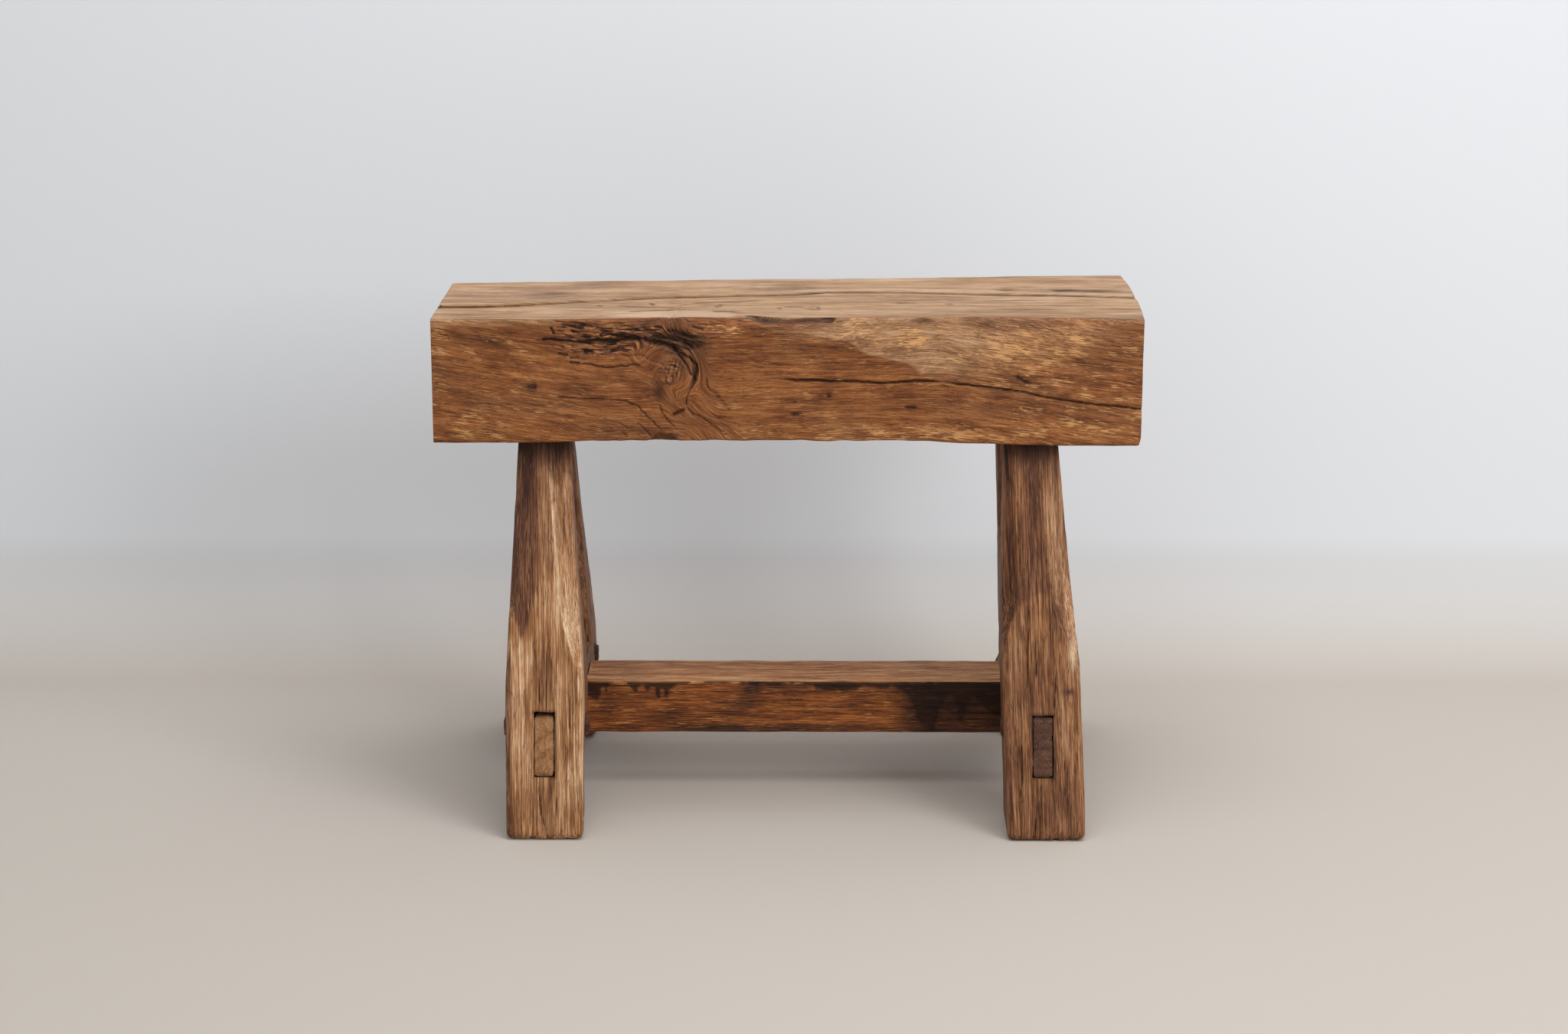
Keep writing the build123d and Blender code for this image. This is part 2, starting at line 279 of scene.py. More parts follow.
def hardwood(
    name, sound, sunned, smoked, fleck, drawn_out=1, fine=1, lively=1, checked=0.45, gloss=0, barky=False
):
    """Old waxed hardwood, whose grain attribute runs along, across and across again, in metres.

    sound, sunned and smoked are each a dark, a middle and a pale colour. The tone between them is half,
    plus streaks, fibres, blotches and growth rings about the pith, each less its mean. The attribute marks
    holds soot with painted shade, wear with painted sheen and highlights, and end grain, and the attribute
    tones holds how sunned, smoked and flecked the wood is; its sunned tone also carries painted light, and
    its smoked tone painted shade.
    drawn_out lengthens the grain, fine narrows it, lively strengthens its fibres, and checked is how dark its
    fine drying checks are. A barky wood also has an attribute knots, whose first number is how much of it is
    rotten bark.
    """
    material = bpy.data.materials.new(name)
    material.use_nodes = True
    material.node_tree.nodes.clear()
    start = Wire(material.node_tree)

    def attribute(name):
        return start.node("ShaderNodeAttribute", {"attribute_name": name}, {}, "Vector")

    def numbers(name):
        """The three numbers of an attribute, a wire each."""
        first = start.node("ShaderNodeSeparateXYZ", {}, {0: attribute(name)})
        return first, first.other(1), first.other(2)

    def drawn(along, across, detail, shift, bend=0.0):
        """Noise drawn out along the grain, with these two lengths in metres as its size."""
        scale = (1 / (along * drawn_out), fine / across, fine / across)
        inputs = {0: grain, 1: scale, 2: (shift, shift, shift)}
        place = start.node("ShaderNodeVectorMath", {"operation": "MULTIPLY_ADD"}, inputs)
        inputs = {"Vector": place, "Scale": 1.0, "Detail": detail, "Roughness": 0.6, "Distortion": bend}
        return start.node("ShaderNodeTexNoise", {}, inputs)

    def ragged(value, by, amount):
        """A share whose in-between values follow the noise: v + (noise - 0.5) amount v (1 - v)."""
        return (value + (by - 0.5) * amount * (value * (1 - value))).held()

    grain = attribute("grain")
    # marks: soot with painted shade, wear with painted sheen and highlights; tones: sun with painted light,
    # smoke with painted shade
    soot_and_shade, wear_and_sheen, end = numbers("marks")
    sun_and_light, smoke_and_shade, flecks = numbers("tones")
    streak = drawn(0.07, 0.0034, 3.0, 1.7)
    fibre = drawn(0.018, 0.0007, 2.0, 5.1)
    hair = drawn(0.034, 0.0013, 2.0, 7.7)
    blotch = drawn(0.034, 0.015, 3.0, 9.3, 0.3)
    cloud = drawn(0.09, 0.038, 2.0, 11.9)
    pith = (0.0, 0.06, -0.09)
    middle = start.node("ShaderNodeVectorMath", {"operation": "SUBTRACT"}, {0: grain, 1: pith})
    middle = start.node("ShaderNodeVectorMath", {"operation": "MULTIPLY"}, {0: middle, 1: (0.0, 1.0, 1.0)})
    radius = start.node("ShaderNodeVectorMath", {"operation": "LENGTH"}, {0: middle}, "Value")
    radius = radius * 260.0 + (streak - 0.5) * 2.2
    inputs = {"W": radius, "Scale": 1.0, "Detail": 2.0}
    ring = start.node("ShaderNodeTexNoise", {"noise_dimensions": "1D"}, inputs)
    tone = (streak - 0.5) * 0.42 + (fibre - 0.5) * (0.82 * lively) + (hair - 0.5) * (0.66 * lively)
    tone = tone + (blotch - 0.5) * 0.75 + (cloud - 0.5) * 0.35 + (ring - 0.5) * 0.4 + 0.5

    def ramp(colours):
        stops = [(place, pigment(*colour)) for place, colour in zip((0.22, 0.5, 0.8), colours)]
        return start.node("ShaderNodeValToRGB", {"stops": stops}, {0: tone})

    colour = ragged(sun_and_light, streak, 3.0).blend(ramp(sound), ramp(sunned))
    smudge = ((blotch - 0.56) * 5.0).held() * ((cloud - 0.42) * 4.0).held() * 0.45
    colour = ragged((smoke_and_shade + smudge).held(), streak, 3.5).blend(colour, ramp(smoked))
    cluster = drawn(0.024, 0.0075, 2.0, 12.6)
    chip = drawn(0.011, 0.0009, 4.0, 13.0, 0.2)
    chip = ((chip + (cluster - 0.5) * 0.65 + flecks * 0.22 - 0.665) * 10.0).held() * (flecks * 4.0).held()
    scratch = ((drawn(0.02, 0.0009, 1.0, 15.0) - 0.7) * 14.0).held()
    colour = (chip * 0.75 + scratch * 0.5).blend(colour, pigment(*fleck))
    # the pale colour laid on here is worn wood together with painted sheen and highlights
    colour = (ragged(wear_and_sheen, fibre, 4.0) * 0.85).blend(colour, pigment(*sunned[2]))
    pore = ((drawn(0.006, 0.0005, 1.0, 17.0) - 0.6) * 9.0).held()
    line = (1 - (drawn(0.11, 0.0085, 2.0, 21.0) - 0.5).size() * 130.0).held()
    line = line * ((blotch - 0.44) * 8.0).held()
    check = (1 - (drawn(0.055, 0.005, 3.0, 27.0) - 0.5).size() * 75.0).held()
    check = check * ((drawn(0.03, 0.012, 1.0, 31.0) - 0.5) * 9.0).held()
    split = (line + check).held()
    colour = (pore * 0.28 + split * checked + end * 0.2).blend(colour, pigment(*smoked[0]))
    # soot, with the painted shade it carries, darkens the colour towards near black
    char = ragged(soot_and_shade, fibre, 3.0)
    height = fibre * 0.45 + hair * 0.5 + streak * 0.4 - pore * 0.5 - split * 0.9 - char * 0.3 + chip * 0.15
    if barky:
        lump = drawn(0.011, 0.0019, 3.0, 41.0, 0.5)
        crust = ((lump - 0.44) * 4.5).held().blend(pigment(92, 52, 34), pigment(206, 138, 84))
        rotten = ragged(numbers("knots")[0], blotch, 4.0)
        colour = (rotten * 0.8).blend(colour, crust)
        gap = ((0.485 - lump) * 12.0).held() * rotten
        char = (char + gap * 0.8).held()
        height = height + rotten * (lump - 0.5) * 3.0
    colour = (char * 0.93).blend(colour, pigment(30, 20, 16))
    bump = start.node("ShaderNodeBump", {}, {"Strength": 0.8, "Distance": 0.0008, "Height": height})
    rough = 0.55 + (fibre - 0.5) * 0.35 + char * 0.25 + end * 0.1 - gloss
    inputs = {"Base Color": colour, "Roughness": rough, "Normal": bump, "Specular IOR Level": 0.22}
    surface = start.node("ShaderNodeBsdfPrincipled", {}, inputs)
    start.node("ShaderNodeOutputMaterial", {}, {"Surface": surface})
    return material


low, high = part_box("long_stretcher")
rail_width, proud = 0.055, 0.0006
body_half, tenon_half, tenon_low, tenon_high = 0.0355, 0.022, 0.063, 0.087
steps = (6, 190, 6)
edges = (low.x - proud, low.x + rail_width, high.x - rail_width, high.x + proud)
x = np.concatenate([np.linspace(edges[i], edges[i + 1], count) for i, count in enumerate(steps)])
is_body = np.repeat([False, True, False], steps)
half_depth = np.where(is_body, body_half, tenon_half)
bottom, top = np.where(is_body, low.z, tenon_low), np.where(is_body, high.z, tenon_high)
flat = section(-half_depth, half_depth, bottom, top, [np.where(is_body, 0.002, 0.0006)] * 4)
arris = np.array([0, 0.25, 0.5, 0.75])
shares = [spread(20, 0.04), arris, spread(16, 0.06), arris, spread(30, 0.04), arris, spread(26, 0.06), arris]
points = wrap(stacked(flat, x, 0), shares, 0.0015)
x, y, z = np.moveaxis(points, 2, 0)
hollow = 0.0005 + 0.0004 * noise(3, x / 0.045, y / 0.02, z / 0.02)
hollow += 0.0002 * noise(4, x / 0.02, y / 0.003, z / 0.003)
points = capped(points - outward(points) * (hollow * is_body[:, None])[..., None], 0.0003)
x, y, z = np.moveaxis(points, 2, 0)
is_front = rise(-0.0325, -0.0345, y)
is_top = rise(high.z - 0.003, high.z - 0.0012, z)
fall = high.z - z

# how far down the front the black water stains reach: a place along the bar and its reach, in turn, in mm
stain_reach = (
    -172, 15, -169, 17, -167, 17, -165.5, 8, -163, 5, -161.5, 10, -160, 10, -158.5, 3.5, -155, 2,
    -143, 1.5, -140, 4.5, -135.5, 10.5, -133.5, 10.5, -131, 5, -127.5, 5, -124.5, 10.5, -122.5, 10.5,
    -121, 5.5, -118, 5.5, -116.5, 14.5, -115, 17, -113, 17, -112, 7, -110, 7, -108.5, 14.5, -106.5, 14,
    -104.5, 8, -98, 4.5, -93, 2.5, -88, 1.2, -42, 1.2, -34, 3.5, -20, 3.5, 0, 2, 22, 1.5, 25, 6, 31, 8,
    42, 7.5, 52, 10, 62, 7, 66, 3, 75, 4.5, 84, 7.5, 90, 5, 100, 6.5, 106, 12, 111, 20, 114, 34, 120, 42,
    130, 46, 134, 28, 139, 18, 144, 12, 148, 14, 151, 36, 156, 36, 159, 22, 166, 14, 176, 26, 186, 32,
)
run_down = line_at(x, stain_reach) + 0.0014 * noise(5, x / 0.004, z / 0.02)
ragged_edge = fall - run_down + 0.0008 * noise(6, x / 0.02, z / 0.0016)
black = (0.88 - 0.18 * rise(0.05, 0.12, x)) * is_front * rise(0.001, -0.001, ragged_edge)
murky = patches(
    x, z, (0.75, -33, 88, 12, 10), (0.7, -52, 73, 20, 7), (0.6, -105, 66, 22, 4), (0.5, -160, 78, 10, 12)
)
murky += 0.8 * rise(0.062, 0.057, z) * window(x, -0.125, -0.095, 0.05, 0.11)
murky += 0.6 * rise(0.016, 0.004, fall) * rise(-0.05, -0.03, x) + 0.9 * rise(0.088, 0.112, x)
at_ends = (x < edges[1] - 0.0265) | (x > edges[2] + 0.0265)
worn = rise(0.2, 0.9, noise(7, x / 0.03, y / 0.004)) * rise(0.005, -0.02, y)
broad = rise(0.1, 0.7, noise(8, x / 0.05, z / 0.006))
stretcher_wood = hardwood(
    "stretcher hardwood",
    ((74, 35, 15), (136, 74, 34), (184, 112, 55)),
    ((122, 70, 38), (204, 138, 86), (252, 198, 138)),
    ((38, 22, 15), (70, 39, 25), (104, 62, 40)),
    (200, 134, 72),
    drawn_out=1.2,
    lively=1.2,
    checked=0.5,
)
stretcher = solid(
    "stretcher_bar",
    points,
    stretcher_wood,
    grain=(x, y, z),
    marks=(black, 0.35 * is_top * worn, at_ends),
    tones=(
        is_top * (0.7 + 0.3 * rise(0, -0.025, y)),
        held(is_front * murky + 0.2 * broad + 0.3 * at_ends),
        0.4 * is_front * (1 - 0.7 * held(murky)) + 0.3 * is_top,
    ),
)
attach(stretcher, "root")
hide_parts("long_stretcher")

# Side rails
# One hardwood rail on each side, 55 mm wide and 50 mm high, between a front and a back leg. Its shoulders
# lean with the legs, and a thin tenon at each end runs through the leg, so that its end grain shows.

leg_height = 0.329
foot_reach = 0.1815
foot_depth = 0.066

# each leg: its outer face at the top, its knee's height, its middle at the foot and the top, its top's width
legs = {
    ("front", "left"): (0.0935, 0.1245, -0.205, -0.2085, 0.0435),
    ("front", "right"): (0.0935, 0.1445, 0.2205, 0.208, 0.0465),
    ("back", "left"): (0.0751, 0.1045, -0.2125, -0.217, 0.045),
    ("back", "right"): (0.1074, 0.1045, 0.239, 0.208, 0.045),
}


def outer_face(top_y, z):
    """How far a leg's outer face stands from the middle: a straight line from the foot up to the seat."""
    return foot_reach + (top_y - foot_reach) * z / leg_height


rail_wood = hardwood(
    "rail hardwood",
    ((78, 50, 36), (122, 84, 60), (160, 118, 88)),
    ((126, 82, 50), (178, 126, 82), (214, 164, 114)),
    ((52, 33, 27), (92, 60, 46), (128, 90, 68)),
    (170, 124, 84),
    fine=1.3,
)
rail_tenon, tenon_rows, body_rows, rail_cap = 0.0085, 22, 90, 13
counts = (tenon_rows, body_rows, tenon_rows)
for side in ("left", "right"):
    is_left = side == "left"
    low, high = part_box(f"side_rail_{side}")
    middle_x = (low.x + high.x) / 2
    is_body = np.repeat([False, True, False], counts)
    half = np.where(is_body, rail_width / 2, rail_tenon)
    cut = np.where(is_body, 0.0022, 0.0016)
    flat = section(middle_x - half, middle_x + half, low.z, high.z, [cut] * 4)
    shares = [spread(14, 0.06), arris, spread(24, 0.05), arris] * 2
    points = wrap(stacked(flat, half, 1), shares, 0.0024)
    x, y, z = np.moveaxis(points, 2, 0)
    recess = 0.0012 if is_left else 0.0016
    front, back = (outer_face(legs[place, side][0], z) for place in ("front", "back"))
    share = np.concatenate([np.linspace(0, 1, count) for count in counts])[:, None]
    group = np.repeat([0, 1, 2], counts)[:, None]
    starts = np.choose(group, (recess - front, foot_depth - front, back - foot_depth))
    stops = np.choose(group, (foot_depth - front, back - foot_depth, back - recess))
    y[:] = starts + (stops - starts) * share

    # the right rail's inner face is hewn back by 3 mm at its top
    if side == "right":
        x += 0.0034 * rise(middle_x - 0.018, middle_x - 0.027, x) * rise(0.079, 0.09, z) * is_body[:, None]
    hollow = 0.0006 + 0.0005 * noise(11, y / 0.04, x / 0.02, z / 0.02)
    hollow += 0.0002 * noise(12, y / 0.02, x / 0.003, z / 0.003)
    at_tip = 1 - rise(0, 0.15, np.choose(group, (share, np.ones_like(share), 1 - share)))
    crumble = 0.0003 + 0.0009 * rise(0, 0.9, noise(15 + is_left, x / 0.004, z / 0.005))
    points = points - outward(points) * (hollow * is_body[:, None] + at_tip * crumble)[..., None]
    points = capped(points, 0.0, rail_cap - 1)
    x, y, z = np.moveaxis(points, 2, 0)
    at_ends = np.zeros(points.shape[:2])
    at_ends[:rail_cap] = at_ends[-rail_cap:] = 1
    ripples = 0.0004 * noise(13, x / 0.02, z / (0.005 if is_left else 0.0022), 0)
    ripples += 0.0005 * noise(14, x / (0.002 if is_left else 0.01), z / 0.012, 3)
    y += at_ends * ripples
    outside = np.abs(x - middle_x) > rail_width / 2 - 0.0025
    off_tenon = np.maximum(np.abs(y) - tenon_half, np.maximum(tenon_low - z, z - tenon_high))
    joint_line = outside * (1 - at_ends) * bell(off_tenon, 0.001)
    end_rim = np.maximum(np.abs(x - middle_x) / rail_tenon, np.abs(z - (low.z + high.z) / 2) / 0.025)
    is_top = (1 - at_ends) * rise(high.z - 0.003, high.z - 0.001, z)
    end_grain, sunned, smoked = (0.4, 0.9, 0.1) if is_left else (0.3, 0.0, 0.9)
    rail = solid(
        f"rail_{side}_bar",
        points,
        rail_wood,
        grain=(y, x - middle_x + 0.3 * middle_x, z),
        marks=(0.9 * joint_line + 0.7 * at_ends * rise(0.86, 1, end_rim), 0, end_grain * at_ends),
        tones=(0.5 * is_top + sunned * at_ends, smoked * at_ends + 0.2 * (1 - at_ends), 0),
    )
    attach(rail, "root")
    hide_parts(f"side_rail_{side}")

# Legs
# Four squared posts of old hardwood, 66 mm at the foot, that slim above the knee and carry wide stopped
# chamfers up to the seat. Each was hewn by hand, cut through for its rail, and tenoned into the seat.

foot_width, foot_wear, top_depth, leg_cap = 0.0665, 0.0066, 0.048, 7
tenon_width, tenon_depth, tenon_length = 0.026, 0.028, 0.062
mortise_half, mortise_low, mortise_depth, peg_half = 0.0088, 0.0522, 0.014, 0.0075
mortise_tops = {"left": 0.1055, "right": 0.1035}

# how wide the chamfers are at these heights: plain ones, then the left and right ones of the front legs
chamfer_heights = (0.133, 0.155, 0.175, 0.2, 0.225, 0.255, 0.29, 0.329)
plain_chamfer = (0, 0.005, 0.01, 0.0145, 0.015, 0.0145, 0.014, 0.013)
front_chamfers = {
    "left": (
        (0, 0, 0.001, 0.008, 0.011, 0.0125, 0.014, 0.015),
        (0.003, 0.008, 0.013, 0.016, 0.0165, 0.017, 0.0175, 0.019),
    ),
    "right": (
        (0, 0.001, 0.006, 0.0135, 0.0115, 0.011, 0.0095, 0.0085),
        (0.003, 0.007, 0.013, 0.017, 0.019, 0.0195, 0.0175, 0.016),
    ),
}

# across the outer face the columns stand close together at the arrises and at the mortise's two sides
third = np.array([0, 0.02, 0.045, 0.08, *np.linspace(0.12, 0.96, 19)])
slit = 0.004
hole = np.linspace(1.06, 1.94, 16)
across_outer = np.concatenate([third, [1 - slit, 1 + slit], hole, [2 - slit, 2 + slit], 3 - third[:0:-1]])
wide = spread(7, 0.12)

# drying splits in the front legs, in mm: x at the lower end, its drift, lower and upper height, half width
splits = {
    "left": (
        (-208.5, -2.2, 20, 51, 0.6), (-202, -6.2, -1, 24, 0.9), (-214, 2, -1, 9, 0.7),
        (-204.5, 1, 106, 168, 0.5), (-210.5, 1, 112, 142, 0.5), (-199.5, 0, 113, 152, 0.5),
        (-184, -1, 90, 135, 0.4), (-196, 1, 12, 42, 0.4),
    ),
    "right": (
        (215, 1, -1, 52, 0.8), (209.5, 3, -1, 24, 0.6), (204, 1, 126, 200, 0.5), (212, -1, 135, 175, 0.5),
        (199, 0.5, 30, 85, 0.4), (237, -2, 30, 80, 0.5), (227, 2, 109, 145, 0.5),
    ),
}
leg_wood = hardwood(
    "leg hardwood",
    ((88, 52, 28), (150, 99, 60), (204, 152, 102)),
    # the sunned colours; the pale end also paints the worn arris line with its painted highlight
    ((126, 82, 50), (188, 136, 92), (240, 206, 170)),
    ((46, 25, 18), (101, 61, 42), (152, 103, 73)),
    (212, 162, 112),
    drawn_out=1.5,
    lively=1.2,
    checked=0.5,
)
for (place, side), (top_y, knee_height, foot_x, top_x, top_width) in legs.items():
    post = f"leg_{place}_{side}"
    out = -1 if place == "front" else 1
    mortise_high = mortise_tops[side]
    rail_low, rail_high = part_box(f"side_rail_{side}")
    mortise_x = (rail_low.x + rail_high.x) / 2
    near_foot = [0, 0.0002, 0.0007, 0.0015, 0.0027, 0.0042]
    near_mortise = [edge + step for edge in (mortise_low, mortise_high) for step in (-0.0001, 0.0001)]
    z = np.unique([*near_foot, *np.arange(0.006, leg_height, 0.0018), *near_mortise, leg_height])
    slim = np.clip((z - knee_height) / (leg_height - knee_height), 0, None)
    inset = foot_wear * (1 - np.sqrt(1 - held(1 - z / foot_wear) ** 2))
    middle = foot_x + (top_x - foot_x) * z / leg_height
    if (place, side) == ("front", "right"):
        middle += 0.001 * window(z, 0, 0.04, 0.13, 0.24)
    half = (foot_width + (top_width - foot_width) * slim) / 2 - inset
    outer = -outer_face(top_y, z) + inset
    inner = -outer_face(top_y, z) + foot_depth + (top_depth - foot_depth) * slim - inset
    plain = np.interp(z, chamfer_heights, plain_chamfer)
    left_cut, right_cut = plain, plain
    if place == "front":
        left_cut, right_cut = (np.interp(z, chamfer_heights, sizes) for sizes in front_chamfers[side])
    worn = 0.0022 + 0.0008 * noise(20 + out, z / 0.03, mortise_x * 40)
    cuts = [np.maximum(cut, worn) for cut in (left_cut, right_cut, plain, plain)]
    corners = stacked(section(middle - half, middle + half, outer, inner, cuts), z, 2)
    first, last = corners[:, 0, 0], corners[:, 1, 0]
    cut_low = np.clip((mortise_x - mortise_half - first) / (last - first), 0.05, 0.45)[:, None]
    cut_high = np.clip((mortise_x + mortise_half - first) / (last - first), 0.3, 0.9)[:, None]
    lower_part = cut_low * across_outer
    middle_part = cut_low + (cut_high - cut_low) * (across_outer - 1)
    upper_part = cut_high + (1 - cut_high) * (across_outer - 2)
    outer_shares = np.where(across_outer < 1, lower_part, np.where(across_outer < 2, middle_part, upper_part))
    shares = [outer_shares, *[wide, spread(26, 0.05)] * 3, wide]
    points = wrap(corners, shares, 0.0014)
    tenon_z = np.linspace(leg_height, leg_height + tenon_length, 12)
    lean = -outer_face(top_y, tenon_z) + (top_depth - tenon_depth) / 2
    flat = section(top_x - tenon_width / 2, top_x + tenon_width / 2, lean, lean + tenon_depth, [0.001] * 4)
    tenon = wrap(stacked(flat, tenon_z, 2), [across_outer / 3, *shares[1:]], 0.0005)
    x, y, z = np.moveaxis(points, 2, 0)
    seed = 30 + 7 * (out > 0) + 3 * (side == "right")
    hollow = 0.0003 + 0.0003 * noise(seed, x / 0.03, y / 0.03, z / 0.055)
    hollow += 0.00025 * noise(seed + 1, x / 0.004, y / 0.004, z / 0.03)
    hollow += 0.0012 * rise(0.012, 0, z) * rise(0, 0.8, noise(seed + 2, x / 0.006, y / 0.006, z / 0.01))
    split = np.zeros_like(x)
    if place == "front":
        on_outer = rise(0.004, 0.001, y + outer_face(top_y, z))
        for split_x, drift, lower, upper, half_width in np.array(splits[side]) / 1000:
            line_x = split_x + drift * (z - lower) / (upper - lower)
            line_x += 0.0006 * noise(seed + 3, z / 0.008, 0.5)
            reach = rise(lower - 0.001, lower + 0.003, z) * rise(upper, upper - 0.01, z)
            split = np.maximum(split, on_outer * reach * bell(x - line_x, half_width))
        hollow += 0.0016 * split
    points = points - outward(points) * np.maximum(hollow, 0.0001)[..., None]

    # the mortise's mouth is a little ragged, and the front left leg's inner face leans in at the foot
    for edge_x in (mortise_x - mortise_half, mortise_x + mortise_half):
        near = bell(x - edge_x, 0.0025) * window(z, 0.04, 0.048, 0.108, 0.116)
        points[..., 0] += 0.0005 * near * noise(seed + 8, z / 0.006, edge_x * 50)
    for edge_z in (mortise_low, mortise_high):
        near = bell(z - edge_z, 0.003) * rise(0.014, 0.009, np.abs(x - mortise_x))
        points[..., 2] += 0.0005 * near * noise(seed + 9, x / 0.004, edge_z * 50)
    x, y, z = np.moveaxis(points, 2, 0)
    if (place, side) == ("front", "left"):
        behind = np.clip(y + outer_face(top_y, z), 0, None) / foot_depth
        x -= 0.0036 * behind * rise(-0.01, 0.02, x - foot_x) * rise(0.11, 0.045, z)
    columns = (across_outer > 1) & (across_outer < 2)
    rows = (z[:, 0] > mortise_low) & (z[:, 0] < mortise_high)
    inside = rows[:, None] & np.pad(columns, (0, x.shape[1] - len(columns)))
    y += inside * mortise_depth
    points = capped(np.concatenate([points, tenon]), 0.0, leg_cap + 1)
    x, y, z = np.moveaxis(points, 2, 0).copy()
    points[..., 1] *= -out
    beyond = ((leg_cap, len(x) - len(inside) - leg_cap), (0, 0))
    inside, split = np.pad(inside, beyond), np.pad(split, beyond)

    # soot in the joints' lines and in the splits, painted shade in the mortise pocket and on the tops under
    # the seat, and the tones of the wood, which carry painted light and shade on the front legs
    off_face = y + outer_face(top_y, z)
    low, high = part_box(f"peg_{place}_{side}")
    peg_y, peg_z = -out * (low.y + high.y) / 2, (low.z + high.z) / 2
    off_peg = np.maximum(np.abs(y - peg_y), np.abs(z - peg_z)) - peg_half
    peg_line = (np.abs(x - foot_x) > 0.028) * bell(off_peg - 0.0002, 0.0012)
    off_mortise = np.maximum(mortise_low - z, z - mortise_high)
    off_mortise = np.maximum(np.abs(x - mortise_x) - mortise_half, off_mortise)
    gap_right = rise(0.004, 0.008, x - mortise_x) * (1 if side == "left" else rise(0.088, 0.08, z))
    gap_left = rise(-0.004, -0.008, x - mortise_x) * (0 if side == "left" else rise(0.07, 0.085, z))
    gap = held(0.22 + gap_right + gap_left + rise(mortise_high - 0.003, mortise_high, z))
    lip = (off_face < 0.004) * (z > 0.045) * (z < 0.112) * bell(off_mortise, 0.0016) * gap
    # inside paints the mortise pocket near black as painted shade, and the last term paints the seat's shadow
    # on the leg's top
    soot_and_shade = 0.95 * peg_line + 0.75 * lip + 0.97 * inside + 0.72 * split + 0.75 * rise(0.304, 0.324, z)
    soot_and_shade += 0.35 * rise(0.01, 0, z) * rise(-0.2, 0.8, noise(seed + 4, x / 0.01, z / 0.006))
    shade = noise(seed + 5, x / 0.012, y / 0.012, z / 0.09)
    column = np.arange(x.shape[1])
    corner = len(across_outer)
    right_plane = ((column >= corner) & (column <= corner + len(wide))) * rise(0.14, 0.16, z)
    left_plane = (column >= x.shape[1] - len(wide)) * rise(0.15, 0.175, z)
    seen = rise(0.034, 0.02, off_face)
    rag = 0.005 * shade + 0.003 * noise(seed + 6, x / 0.003, y / 0.003, z / 0.02)
    arris_wear_and_highlight = 0 * x
    if (place, side) == ("front", "left"):
        wedge = np.abs(x + 0.225) - 0.0105 * rise(0.159, 0.205, z) - 0.0015 * rise(0.21, 0.29, z)
        wedge = rise(0.0018, -0.001, wedge + 0.25 * rag) * rise(0.159, 0.17, z)
        # the right chamfer is kept less smoky: partly wear, partly painted light from the right
        smoky = 0.95 * wedge + 0.42 * rise(0.205, 0.235, z + 2 * rag) * (1 - wedge) * (1 - 0.5 * right_plane)
        # the top of the leg is darker: a stain, with painted shade from the seat above
        smoky = np.maximum(smoky, 0.9 * rise(0.285, 0.316, z)) + 0.1 * shade
        smoky += patches(x, z, (0.42, -206.5, 134, 8.5, 22), (0.35, -205, 30, 12, 18))
        # the rounded left arris below the knee is painted darker, as painted shade on its side turned from
        # the light
        smoky += 0.7 * rise(0.0052, 0.0022, x + 0.2375 + 0.1 * rag) * rise(0.165, 0.14, z)
        sunny_and_lit = 0.62 * rise(-0.212, -0.219, x + 0.3 * rag) * rise(0.172, 0.155, z)
        sunny_and_lit += 0.6 * rise(-0.198, -0.193, x) * rise(0.2, 0.16, z)
        sunny_and_lit = sunny_and_lit * rise(0.015, 0.075, z) + patches(x, z, (0.8, -200, 198, 7.5, 24))
        # the right chamfer is painted lighter: partly wear, partly painted light from the right
        sunny_and_lit += 0.3 * right_plane * rise(0.31, 0.27, z) + 0.27
        # a pale broken line along the right chamfer's arris: worn wood with a painted highlight
        broken = rise(-0.8, 0.05, noise(71, z / 0.007, 0.5)) * (0.75 + 0.5 * noise(72, z / 0.0022, 0.5))
        arris_wear_and_highlight = bell(column - corner - 0.5, 2.3) * broken * (1.05 + 0.25 * shade)
        arris_wear_and_highlight *= window(z, 0.142, 0.16, 0.286, 0.312)
        arris_wear_and_highlight += right_plane * patches(x, z, (0.5, -186.5, 170, 8, 30))
    elif place == "front":
        arch = (183, 160, 186, 166, 197.6, 192.6, 209, 201, 225, 199, 232, 179, 240, 157, 243, 144)
        above = z + 0.6 * rag - line_at(x, arch)
        dark = rise(-0.004, 0.005, above) * (0.52 + 0.43 * np.exp(-held(above) / 0.022))
        # the left chamfer is painted darker and the right chamfer lighter: partly wear, partly painted shade
        # and light from the right
        smoky = np.maximum(dark, 0.9 * left_plane) * (1 - 0.85 * right_plane * rise(0.002, 0.006, above))
        smoky += patches(x, z, (0.35, 209, 265, 4, 60), (-0.35, 194.5, 265, 2.5, 55))
        smoky = np.maximum(smoky, 0.38 + 0.2 * shade)
        # the top is painted darker as the seat's shade, and the foot is darker
        smoky += 0.35 * rise(0.285, 0.32, z) + 0.22 * rise(0.06, 0.03, z)
        smoky += patches(x, z, (0.35, 230, 180, 4.5, 18), (0.25, 215, 188, 12, 5), (0.5, 239.5, 123, 7, 5))
        smoky += patches(x, z, (0.35, 215, 135, 8, 35), (0.45, 190.5, 60, 3, 50))
        sunny_and_lit = patches(x, z, (0.7, 196, 160, 5, 28), (0.45, 234, 100, 6, 30), (0.2, 200, 30, 10, 20))
        # the right chamfer is painted lighter: partly wear, partly painted light from the right
        sunny_and_lit += 0.7 * right_plane * rise(0.33, 0.25, z)
